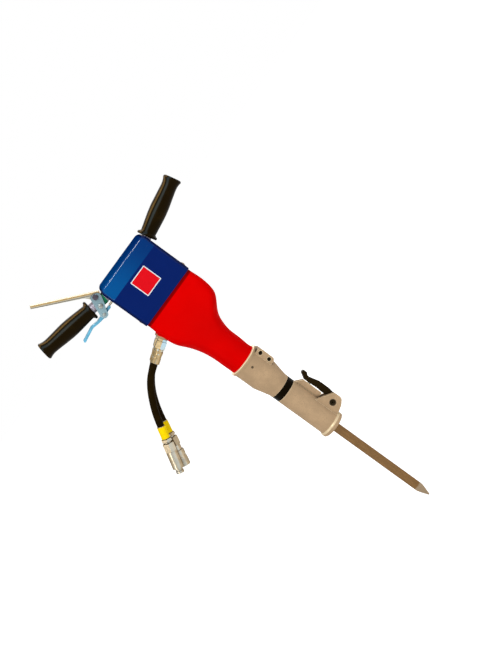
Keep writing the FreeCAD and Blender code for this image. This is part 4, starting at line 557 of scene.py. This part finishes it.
def hose_cover(name, colour):
    """Hose cover with the wrap marks of its curing cloth, on the hose's own coordinates."""
    material, shader, place = new_material(name)
    around = coordinate(place.id_data, "UV")
    weave = noise(stretched(around, (150.0, 12.0, 1.0)), 1.0, 3.0)
    bands = node_with(place.id_data, "ShaderNodeTexWave", Scale=1.0, Distortion=0.6,
                      Vector=stretched(around, (24.0, 3.0, 1.0))).outputs["Fac"]
    dust = noise(place, 60.0, 6.0)
    base = mixed(graded(dust, 0.45, 0.75), colour, shade(colour, 2.0))
    base = stained(base, bands, 0.35, shade(colour, 1.7))
    set_inputs(shader, Base_Color=base, Roughness=graded(weave, 0.3, 0.7, 0.50, 0.66),
               Specular_IOR_Level=0.015, Specular_Tint=(1.0, 0.70, 0.38, 1.0))
    relief(shader, (weave, 0.35, 0.00018), (bands, 0.25, 0.00018))
    return material


def moulded_plastic(name, colour, roughness, streak):
    """Moulded plastic with a soft grain, flow marks and rubbed patches."""
    material, shader, place = new_material(name)
    flow = noise(stretched(place, (1.0, 1.0, 2.5)), 70.0, 5.0, 0.6)
    base = toned(graded(flow, 0.35, 0.70), colour, 1.0 - streak, 1.08)
    dirt = graded(noise(place, 260.0, 6.0, 0.7), 0.62, 0.74)
    base = stained(base, dirt, 0.35, shade(colour, 0.45))
    set_inputs(shader, Base_Color=base, Specular_IOR_Level=0.06,
               Roughness=graded(flow, 0.3, 0.7, roughness - 0.05, roughness + 0.12))
    relief(shader, (noise(place, 1100.0, 2.0), 0.08, 0.00006), (flow, 0.08, 0.00020))
    return material


def plate_print(name, field, frame_colour, centre, half, border):
    """Bare plate: one plain field inside a pale frame, lightly scuffed."""
    material, shader, place = new_material(name)
    middle = stretched(place, move=(-centre[0], 0.0, -centre[1]))
    aside, above = (combined("ABSOLUTE", axis_value(middle, axis), 0.0) for axis in (0, 2))
    reach = combined("MAXIMUM", aside, above)
    edge = graded(reach, half - border - FRAME_EDGE, half - border + FRAME_EDGE)
    scuffs = graded(noise(place, 260.0, 7.0, 0.7), 0.60, 0.74)
    inner = toned(noise(place, 60.0), field, 0.92, 1.08)
    base = stained(mixed(edge, inner, frame_colour), scuffs, 0.12, (0.4, 0.4, 0.4))
    set_inputs(shader, Base_Color=base, Roughness=graded(scuffs, 0.0, 1.0, 0.30, 0.50),
               Specular_IOR_Level=0.06)
    relief(shader, (edge, 0.20, 0.00008), (noise(place, 900.0, 2.0), 0.08, 0.00005))
    return material


def arm_finish(name, colour, root, depth, taper):
    """Plated arm: golden top flange, pale web, a painted shadow line above its silver lower edge, and painted
    shade in its corners.
    """
    material, shader, place = new_material(name)
    up = Vector((math.sin(ARM_PITCH), 0.0, math.cos(ARM_PITCH)))
    along = Vector((-math.cos(ARM_PITCH), 0.0, math.sin(ARM_PITCH)))
    below = combined("SUBTRACT", depth / 2, along_line(place, root, up + along * taper))
    ripple = noise(place, 150.0, 4.0, 0.6)
    below = combined("ADD", below, product(ripple, depth * 0.14))
    base = toned(ripple, colour, 0.80, 1.20)
    base = mixed(graded(below, depth * 0.42, depth * 0.54), base, (0.47, 0.46, 0.39))
    # Painted shadow: a dark line where the flange's shadow falls above the lower edge
    line = between(below, (depth * 0.58, depth * 0.66), (depth * 0.76, depth * 0.84))
    base = stained(base, line, 0.85, (0.09, 0.065, 0.035))
    # Painted shade in the arm's inner corners
    base = stained(base, shaded_corners(place, 0.003, alone=False), 0.7, (0.08, 0.06, 0.04))
    set_inputs(shader, Base_Color=base, Metallic=0.55, Specular_IOR_Level=0.10,
               Roughness=graded(ripple, 0.3, 0.7, 0.30, 0.42))
    relief(shader, (noise(place, 300.0, 3.0), 0.06, 0.00005))
    return material


def dress(material, *names):
    """Gives CAD nodes a finish through their material slots."""
    for name in names:
        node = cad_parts[name]
        if not node.material_slots:
            node.data.materials.append(None)
        for slot in node.material_slots:
            slot.material = material


# Geometry Nodes for what repeats, and objects

def tree_with_inputs(name, inputs):
    tree = bpy.data.node_groups.new(name, "GeometryNodeTree")
    for label, kind in inputs:
        tree.interface.new_socket(name=label, in_out="INPUT", socket_type="NodeSocket" + kind)
    tree.interface.new_socket(name="Geometry", in_out="OUTPUT", socket_type="NodeSocketGeometry")
    return tree, tree.nodes.new("NodeGroupInput").outputs


def close_tree(tree, geometry, given):
    """Places the geometry, realizes its instances and sets its material."""
    placed = node_with(tree, "GeometryNodeTransform", Geometry=geometry, Translation=given["Place"],
                       Rotation=given["Turn"])
    real = node_with(tree, "GeometryNodeRealizeInstances", Geometry=placed.outputs[0])
    finished = node_with(tree, "GeometryNodeSetMaterial", Geometry=real.outputs[0], Material=given["Finish"])
    out = tree.nodes.new("NodeGroupOutput")
    tree.links.new(finished.outputs[0], out.inputs[0])
    return tree


def ring_of_lands():
    """Rounded lands, a count of them in a ring round the axis."""
    tree, given = tree_with_inputs("ring of lands", [
        ("Count", "Int"), ("Radius", "Float"), ("Land Size", "Vector"), ("Squareness", "Float"),
        ("Place", "Vector"), ("Turn", "Rotation"), ("Finish", "Material")])
    circle = node_with(tree, "GeometryNodeMeshCircle", Vertices=given["Count"], Radius=given["Radius"])
    land = node_with(tree, "GeometryNodeMeshCube", Size=given["Land Size"])
    rounded = node_with(tree, "GeometryNodeSubdivisionSurface", Mesh=land.outputs[0], Level=2,
                        Edge_Crease=given["Squareness"])
    outward = node_with(tree, "FunctionNodeAlignRotationToVector",
                        Vector=tree.nodes.new("GeometryNodeInputPosition").outputs[0])
    outward.axis = "X"
    ring = node_with(tree, "GeometryNodeInstanceOnPoints", Points=circle.outputs[0],
                     Instance=rounded.outputs[0], Rotation=outward.outputs[0])
    return close_tree(tree, ring.outputs[0], given)


def thread_turns():
    """Screw thread as a ridge that winds round the axis."""
    tree, given = tree_with_inputs("thread turns", [
        ("Radius", "Float"), ("Length", "Float"), ("Turns", "Float"), ("Ridge", "Float"),
        ("Place", "Vector"), ("Turn", "Rotation"), ("Finish", "Material")])
    helix = node_with(tree, "GeometryNodeCurveSpiral", Resolution=20, Rotations=given["Turns"],
                      Height=given["Length"], Start_Radius=given["Radius"], End_Radius=given["Radius"])
    ridge = node_with(tree, "GeometryNodeCurvePrimitiveCircle", Resolution=4, Radius=given["Ridge"])
    swept = node_with(tree, "GeometryNodeCurveToMesh", Curve=helix.outputs[0], Profile_Curve=ridge.outputs[0],
                      Fill_Caps=True)
    return close_tree(tree, swept.outputs[0], given)


def add_object(name, data):
    thing = bpy.data.objects.new(name, data)
    bpy.context.scene.collection.objects.link(thing)
    return thing


def saved_mesh(work, name):
    """Mesh made from finished bmesh work."""
    mesh = bpy.data.meshes.new(name)
    work.to_mesh(mesh)
    work.free()
    return mesh


def grown_mesh(tree, **values):
    """Mesh that a tree makes from the given inputs, taken off a passing object."""
    holder = add_object("grown", bpy.data.meshes.new("grown"))
    modifier = holder.modifiers.new("grown", "NODES")
    modifier.node_group = tree
    for socket in tree.interface.items_tree:
        name = socket.name.replace(" ", "_")
        if socket.in_out == "INPUT" and name in values:
            modifier[socket.identifier] = values[name]
    bpy.context.view_layer.update()
    evaluated = holder.evaluated_get(bpy.context.evaluated_depsgraph_get())
    mesh = bpy.data.meshes.new_from_object(evaluated)
    holder.modifiers.remove(modifier)
    bpy.data.objects.remove(holder)
    if not mesh.vertices:
        raise RuntimeError(f"{tree.name} made no mesh")
    return mesh


def solid_piece(name, grown, material):
    """Object from a grown mesh, with its normals outward and its finish set."""
    work = bmesh.new()
    work.from_mesh(grown)
    bmesh.ops.recalc_face_normals(work, faces=work.faces)
    for face in work.faces:
        face.smooth = True
        face.material_index = 0
    whole = saved_mesh(work, name)
    whole.materials.append(material)
    return add_object(name, whole)


def turn_upright(direction):
    return Vector(direction).rotation_difference(Vector((0.0, 0.0, 1.0))).to_euler()


def route_end(route):
    """Last point of a route and the direction that the hose leaves it in."""
    last = Vector(route[-1])
    return last, (last - Vector(route[-2])).normalized()


def box_middle(name):
    low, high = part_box(name)
    return (low + high) / 2


class BREAKER_OT_studio(bpy.types.Operator):
    """Makes the camera, the lamps, the white surroundings and the floor"""
    bl_idname = "breaker.studio"
    bl_label = "Studio"

    def execute(self, context):
        studio = context.scene.breaker_studio
        self.add_camera(context, studio)
        self.add_world(context, studio.ambient)
        aim = Vector(studio.aim)
        for name, offset, size, power in (
                ("key_lamp", (-0.10, -1.75, 1.75), 0.40, studio.key_power),
                ("left_lamp", (-2.2, -1.5, 0.7), 0.8, studio.left_power),
                ("right_lamp", (2.3, -1.8, 0.4), 1.2, studio.right_power),
                ("back_lamp", (0.6, 2.4, 1.5), 1.8, studio.back_power)):
            lamp = bpy.data.lights.new(name, "AREA")
            lamp.size = size
            lamp.energy = power
            holder = add_object(name, lamp)
            holder.location = aim + Vector(offset)
            holder.rotation_euler = (-Vector(offset)).to_track_quat("-Z", "Y").to_euler()
        self.add_floor(studio.floor_colour)
        return {"FINISHED"}

    def add_camera(self, context, studio):
        fall, roll = studio.fall, studio.roll
        level_right = Vector((1.0, 0.0, 0.0))
        level_up = Vector((0.0, math.sin(fall), math.cos(fall)))
        backward = Vector((0.0, -math.cos(fall), math.sin(fall)))
        right = level_right * math.cos(roll) - level_up * math.sin(roll)
        up = level_right * math.sin(roll) + level_up * math.cos(roll)
        camera = bpy.data.cameras.new("camera")
        camera.lens = studio.lens
        camera.sensor_width = 36.0
        holder = add_object("camera", camera)
        turn = Matrix((right, up, backward)).transposed().to_4x4()
        holder.matrix_world = Matrix.Translation(Vector(studio.aim) + backward * studio.distance) @ turn
        context.scene.camera = holder

    def add_world(self, context, ambient):
        world = bpy.data.worlds.new("white_surroundings")
        context.scene.world = world
        world.use_nodes = True
        tree = world.node_tree
        set_inputs(tree.nodes["Background"], Color=(1.0, 1.0, 1.0, 1.0),
                   Strength=self.where_seen(tree, ambient, 1.0))

    def where_seen(self, tree, elsewhere, seen):
        """One value for rays that show a surface to the camera and another for the light that it sheds."""
        path = tree.nodes.new("ShaderNodeLightPath").outputs
        rays = combined("ADD", path["Is Camera Ray"], path["Is Glossy Ray"])
        rays = combined("ADD", rays, path["Is Transmission Ray"])
        return graded(rays, 0.0, 1.0, elsewhere, seen)

    def add_floor(self, colour):
        half = 9.0
        level = CAD_BOX[0][2]
        corners = [(-half, -half, level), (half, -half, level), (half, half, level), (-half, half, level)]
        mesh = bpy.data.meshes.new("floor")
        mesh.from_pydata(corners, [], [(0, 1, 2, 3)])
        floor = add_object("floor", mesh)
        material, shader, place = new_material("floor_white")
        set_inputs(shader, Base_Color=mixed(noise(place, 3.0), shade(colour, 0.99), colour),
                   Roughness=0.85, Specular_IOR_Level=0.1, Emission_Color=(1.0, 1.0, 1.0, 1.0),
                   Emission_Strength=self.where_seen(place.id_data, 0.0, 0.70))
        mesh.materials.append(material)


class BREAKER_OT_hoses(bpy.types.Operator):
    """Lays the two hose tails along their routes and finishes their tags"""
    bl_idname = "breaker.hoses"
    bl_label = "Hoses"

    def execute(self, context):
        sizes = context.scene.breaker_hoses
        colours = context.scene.breaker_colours
        cover = hose_cover("hose_cover", colours.hose)
        for side, route, length, coupling in (
                ("front", FRONT_HOSE_ROUTE, sizes.front_length, ["coupling_male"]),
                ("back", BACK_HOSE_ROUTE, sizes.back_length, ["coupling_female", "coupling_sleeve"])):
            line = bpy.data.curves.new(f"hose_line_{side}", "CURVE")
            line.dimensions = "3D"
            line.bevel_depth = sizes.diameter / 2
            line.bevel_resolution = 8
            line.use_fill_caps = True
            spline = line.splines.new("NURBS")
            spline.points.add(len(route) - 1)
            for point, where in zip(spline.points, route):
                point.co = (*where, 1.0)
            spline.order_u = 3
            spline.use_endpoint_u = True
            spline.resolution_u = 16
            hose = add_object(f"hose_tail_{side}", line)
            line.materials.append(cover)
            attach(hose, "machine")
            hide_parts(f"hose_{side}")
        dress(moulded_plastic("tag_film", colours.tag, 0.60, 0.0), "hose_tag_front", "hose_tag_back")
        return {"FINISHED"}


class BREAKER_OT_hood(bpy.types.Operator):
    """Finishes the hood, its screws and the parts right under it"""
    bl_idname = "breaker.hood"
    bl_label = "Hood"

    def execute(self, context):
        colours = context.scene.breaker_colours
        low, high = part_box("hood")
        # Painted light on the hood's sloping band, lighter at its left end
        bands = (colours.hood_band, colours.hood_lit_band_far)
        dress(enamel("hood_enamel", colours.hood, 0.10, bands, high.z - CREASE_DROP), "hood")
        dress(plated("bright_zinc", (0.46, 0.34, 0.20), (0.40, 0.33, 0.26)), "hood_screws", "handle_yoke",
              "guide_shoes")
        dress(plated("tube_zinc", (0.46, 0.42, 0.50), (0.52, 0.47, 0.55), 0.52, 0.3, 0.25),
              "handle_tube_left", "handle_tube_right")
        bead = grown_mesh(ring_of_lands(), Count=context.scene.breaker_details.weld_count,
                          Radius=WELD_RADIUS, Land_Size=WELD_RIPPLE, Squareness=0.0,
                          Place=(low.x, 0.0, TUBE_AXIS_Z), Turn=(0.0, math.radians(90.0), 0.0))
        metal = plated("weld_metal", (0.34, 0.27, 0.20), (0.52, 0.44, 0.34), 0.42)
        weld = solid_piece("tube_weld", bead, metal)
        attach(weld, "handle")
        return {"FINISHED"}


class BREAKER_OT_plate(bpy.types.Operator):
    """Sets a bare, plain plate on the hood's front"""
    bl_idname = "breaker.plate"
    bl_label = "Bare plate"

    def execute(self, context):
        plate = context.scene.breaker_plate
        colours = context.scene.breaker_colours
        half = plate.width / 2
        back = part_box("hood")[0].y
        steps = 6
        outline = []
        for quarter in range(4):
            for step in range(steps):
                turn = math.radians(90 * quarter + 90 * step / steps)
                x = math.cos(turn) * plate.corner + math.copysign(half - plate.corner, math.cos(turn + 0.001))
                z = math.sin(turn) * plate.corner + math.copysign(half - plate.corner, math.sin(turn + 0.001))
                outline.append((plate.centre_x + x, z - plate.centre_drop))
        count = len(outline)
        points = [(x, y, z) for y in (back, back - plate.thickness) for x, z in outline]
        sides = [(i, (i + 1) % count, count + (i + 1) % count, count + i) for i in range(count)]
        mesh = bpy.data.meshes.new("bare_plate")
        mesh.from_pydata(points, [], [range(count - 1, -1, -1), range(count, 2 * count), *sides])
        mesh.materials.append(plate_print("plate_finish", colours.plate_field, colours.plate_frame,
                                          (plate.centre_x, -plate.centre_drop), half, plate.border))
        piece = add_object("bare_plate", mesh)
        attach(piece, "handle")
        return {"FINISHED"}


class BREAKER_OT_grips(bpy.types.Operator):
    """Finishes the rubber grips, the buffers and the sleeve on the left tube"""
    bl_idname = "breaker.grips"
    bl_label = "Grips"

    def execute(self, context):
        colours = context.scene.breaker_colours
        # The grips get a painted warm highlight with dust on top and a painted cool sheen below it
        rubber = moulded_rubber("grip_rubber", colours.rubber, dust_and_highlight=(0.150, 0.088, 0.028),
                                painted_sheen=(0.024, 0.031, 0.031))
        dress(rubber, "grip_left", "grip_right")
        self.add_buffers(rubber)
        dress(moulded_plastic("sleeve_green", colours.sleeve, 0.42, 0.30), "tube_sleeve")
        return {"FINISHED"}

    def add_buffers(self, rubber):
        """Buffers merged into one mesh of their own, riding with the handle."""
        merged = bmesh.new()
        merged.from_mesh(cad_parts["damper_buffers"].data)
        bmesh.ops.remove_doubles(merged, verts=merged.verts, dist=0.000002)
        mesh = saved_mesh(merged, "suspension_buffers")
        mesh.materials.clear()
        mesh.materials.append(rubber)
        buffers = add_object("suspension_buffers", mesh)
        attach(buffers, "handle")
        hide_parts("damper_buffers")
        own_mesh(buffers)


class BREAKER_OT_trigger(bpy.types.Operator):
    """Finishes the trigger arm, its cheeks, pins and the finger catch"""
    bl_idname = "breaker.trigger"
    bl_label = "Trigger"

    def execute(self, context):
        colours = context.scene.breaker_colours
        root = box_middle("trigger_pivot_pin") + ARM_ROOT
        dress(arm_finish("arm_plating", colours.arm, root, ARM_DEPTH, ARM_TAPER), "trigger_arm")
        dress(plated("cheek_plating", colours.zinc, (0.26, 0.40, 0.45), 0.40, 0.55, 0.35),
              "cheek_plate_front", "cheek_plate_back")
        pins = plated("pin_plating", (0.26, 0.34, 0.36), (0.34, 0.35, 0.31), 0.42, 0.6, 0.3)
        dress(pins, "trigger_pivot_pin", "catch_rivet")
        bolt = plated("bolt_blackened", (0.13, 0.12, 0.15), (0.24, 0.22, 0.26), 0.40)
        dress(bolt, "arm_bolt")
        dress(plated("plunger_plating", (0.40, 0.36, 0.26), (0.46, 0.42, 0.32), 0.44, 0.5, 0.2), "plunger")
        dress(moulded_plastic("catch_blue", colours.catch, 0.38, 0.14), "safety_catch")
        dress(turned_metal("bush_brass", (0.62, 0.42, 0.17)), "pivot_bushes")
        middle = box_middle("arm_bolt")
        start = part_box("cheek_plate_back")[1].y + THREAD_START
        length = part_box("arm_bolt")[1].y - THREAD_BARE - start
        ridge = grown_mesh(thread_turns(), Radius=THREAD_RADIUS, Length=length, Ridge=THREAD_RIDGE,
                           Turns=length / context.scene.breaker_details.thread_pitch,
                           Place=(middle.x, start, middle.z), Turn=(math.radians(-90.0), 0.0, 0.0))
        thread = solid_piece("arm_bolt_thread", ridge, bolt)
        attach(thread, "trigger")
        return {"FINISHED"}


class BREAKER_OT_casing(bpy.types.Operator):
    """Finishes the red main casing"""
    bl_idname = "breaker.casing"
    bl_label = "Main casing"

    def execute(self, context):
        colours = context.scene.breaker_colours
        ports = []
        for route in (FRONT_HOSE_ROUTE, BACK_HOSE_ROUTE):
            start = Vector(route[0])
            ports.append(start + (start - Vector(route[1])).normalized() * PORT_REACH)
        # The casing's enamel gets painted shadow and grime in a strip below the hood
        finish = enamel("casing_enamel", colours.casing, 0.03, eave_z=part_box("hood")[0].z, ports=ports)
        dress(finish, "main_casing")
        return {"FINISHED"}


class BREAKER_OT_castings(bpy.types.Operator):
    """Finishes the bare head and nose castings with their band and screws"""
    bl_idname = "breaker.castings"
    bl_label = "Castings"

    def execute(self, context):
        colours = context.scene.breaker_colours
        bare, bright = colours.casting, colours.machined
        head_low, head_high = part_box("front_head")
        nose_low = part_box("latch_housing")[0].z
        pin = box_middle("latch_pin")
        # Painted shade round the latch pin's heads, where the ears are recessed
        recesses = [((pin.x, side * PIN_RECESS_Y, pin.z), PIN_RECESS_RADIUS) for side in (-1, 1)]
        dent = (HEAD_DENT[0], head_low.y + HEAD_DENT[1], HEAD_DENT[2])
        head_rim = [head_high.z + rise for rise in HEAD_RIM]
        # Turned rim on the nose, also a painted highlight on the bead's flank
        nose_rim_and_highlight = [nose_low + rise for rise in NOSE_RIM_AND_HIGHLIGHT]
        dress(casting("head_casting", bare, bright, head_rim, [(dent, HEAD_DENT_RADIUS)]), "front_head")
        dress(casting("nose_casting", bare, bright, nose_rim_and_highlight, recesses, 0.6), "latch_housing")
        dress(moulded_rubber("band_rubber", (0.0030, 0.0018, 0.0004), 0.34, 0.03), "joint_band")
        dress(plated("screw_blackened", (0.012, 0.008, 0.003), (0.030, 0.021, 0.010), 0.45, 0.5, 0.0),
              "clamp_screws", "latch_pin", "bushing_pin")
        return {"FINISHED"}


class BREAKER_OT_latch(bpy.types.Operator):
    """Finishes the latch lever and its rubber stop"""
    bl_idname = "breaker.latch"
    bl_label = "Latch"

    def execute(self, context):
        colours = context.scene.breaker_colours
        dress(forged("latch_forging", colours.latch), "latch_lever")
        dress(moulded_rubber("stop_rubber", (0.02, 0.02, 0.02)), "latch_detent")
        return {"FINISHED"}


class BREAKER_OT_chisel(bpy.types.Operator):
    """Finishes the chisel, ground bright at its point"""
    bl_idname = "breaker.chisel"
    bl_label = "Chisel"

    def execute(self, context):
        colours = context.scene.breaker_colours
        point_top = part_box("chisel")[0].z + GROUND_POINT
        dress(forged("chisel_steel", colours.chisel, grind_z=point_top), "chisel")
        return {"FINISHED"}


class BREAKER_OT_fittings(bpy.types.Operator):
    """Finishes the hose fittings and their smooth drawn ferrules"""
    bl_idname = "breaker.fittings"
    bl_label = "Hose fittings"

    def execute(self, context):
        colours = context.scene.breaker_colours
        gold = plated("fitting_plating", colours.fitting, (0.52, 0.40, 0.22), 0.26, 0.95, 0.95, 3.0)
        dress(gold, "hose_adapter_front", "hose_adapter_back", "hose_nut_front", "hose_nut_back")
        for side, route in (("front", FRONT_HOSE_ROUTE), ("back", BACK_HOSE_ROUTE)):
            inward = Vector(route[0]) - Vector(route[1])
            outward = route_end(route)[1]
            for piece, axis in ((f"hose_ferrule_{side}", inward), (f"end_ferrule_{side}", outward)):
                turn = turn_upright(axis)
                dress(turned_metal(f"{piece}_plating", colours.fitting, turn, 0.26, 0.55, 1.0), piece)
        return {"FINISHED"}


class BREAKER_OT_couplings(bpy.types.Operator):
    """Finishes the two couplings, with knurls on the locking sleeve and balls in the socket"""
    bl_idname = "breaker.couplings"
    bl_label = "Couplings"

    def execute(self, context):
        colours = context.scene.breaker_colours
        details = context.scene.breaker_details
        nickel = colours.coupling
        for name, route in (("coupling_male", FRONT_HOSE_ROUTE), ("coupling_female", BACK_HOSE_ROUTE)):
            end, direction = route_end(route)
            turn = turn_upright(direction)
            dress(turned_metal(f"{name}_nickel", nickel, turn, 0.30, 0.36), name)
        sleeve_metal = turned_metal("sleeve_nickel", nickel, turn, 0.32, 0.36)
        dress(sleeve_metal, "coupling_sleeve")
        mouth = end + direction * MOUTH_REACH
        tree = ring_of_lands()
        outward = Vector((0.0, 0.0, 1.0)).rotation_difference(direction).to_euler()
        knurls = solid_piece("sleeve_knurls", grown_mesh(
            tree, Count=details.knurl_count, Radius=KNURL_RADIUS, Land_Size=KNURL, Squareness=0.35,
            Place=mouth - direction * KNURL_SETBACK, Turn=outward), sleeve_metal)
        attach(knurls, "coupling_sleeve")
        steel = turned_metal("ball_steel", (0.70, 0.70, 0.72))
        balls = solid_piece("locking_balls", grown_mesh(
            tree, Count=details.ball_count, Radius=BALL_RING_RADIUS, Land_Size=BALL, Squareness=0.0,
            Place=mouth - direction * BALL_SETBACK, Turn=outward), steel)
        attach(balls, "machine")
        return {"FINISHED"}


class BREAKER_OT_inner_parts(bpy.types.Operator):
    """Finishes the parts inside the breaker"""
    bl_idname = "breaker.inner_parts"
    bl_label = "Inner parts"

    def execute(self, context):
        ground = turned_metal("ground_steel", (0.55, 0.56, 0.58))
        dress(ground, "cylinder_liner", "piston", "reversing_sleeve", "reversing_valve", "valve_spool",
              "spool_spring", "accumulator_cover", "tool_bushing")
        dress(casting("block_casting", (0.45, 0.46, 0.48), (0.75, 0.76, 0.78), BLOCK_RIM), "valve_block")
        dress(plated("block_screws", (0.05, 0.05, 0.05), (0.09, 0.09, 0.09), 0.40), "valve_block_screws")
        dress(plated("plug_zinc", (0.60, 0.62, 0.66), (0.74, 0.70, 0.60)), "valve_plug")
        dress(moulded_rubber("seal_rubber", (0.02, 0.02, 0.02)), "liner_seals", "rod_seal",
              "accumulator_diaphragm")
        return {"FINISHED"}


STEPS = (BREAKER_OT_studio, BREAKER_OT_hoses, BREAKER_OT_hood, BREAKER_OT_plate, BREAKER_OT_grips,
         BREAKER_OT_trigger, BREAKER_OT_casing, BREAKER_OT_castings, BREAKER_OT_latch, BREAKER_OT_chisel,
         BREAKER_OT_fittings, BREAKER_OT_couplings, BREAKER_OT_inner_parts)
SETTINGS = {"breaker_studio": BreakerStudio, "breaker_colours": BreakerColours,
            "breaker_hoses": BreakerHoses, "breaker_plate": BreakerPlate, "breaker_details": BreakerDetails}


class BREAKER_PT_panel(bpy.types.Panel):
    """Lists the breaker's steps and their settings"""
    bl_idname = "BREAKER_PT_panel"
    bl_label = "Hydraulic Breaker"
    bl_space_type = "VIEW_3D"
    bl_region_type = "UI"
    bl_category = "Breaker"

    def draw(self, context):
        layout = self.layout
        for step in STEPS:
            layout.operator(step.bl_idname)
        for pointer, group in SETTINGS.items():
            box = layout.box()
            box.label(text=group.__doc__)
            for name in group.__annotations__:
                box.prop(getattr(context.scene, pointer), name)


def register():
    for group in (*SETTINGS.values(), *STEPS, BREAKER_PT_panel):
        bpy.utils.register_class(group)
    for pointer, group in SETTINGS.items():
        setattr(bpy.types.Scene, pointer, PointerProperty(type=group))


def unregister():
    for pointer in SETTINGS:
        delattr(bpy.types.Scene, pointer)
    for group in reversed((*SETTINGS.values(), *STEPS, BREAKER_PT_panel)):
        bpy.utils.unregister_class(group)


def main():
    register()
    bpy.context.scene.view_settings.view_transform = "Standard"
    for step in STEPS:
        getattr(bpy.ops.breaker, step.bl_idname.split(".")[1])()


if __name__ == "__main__":
    main()
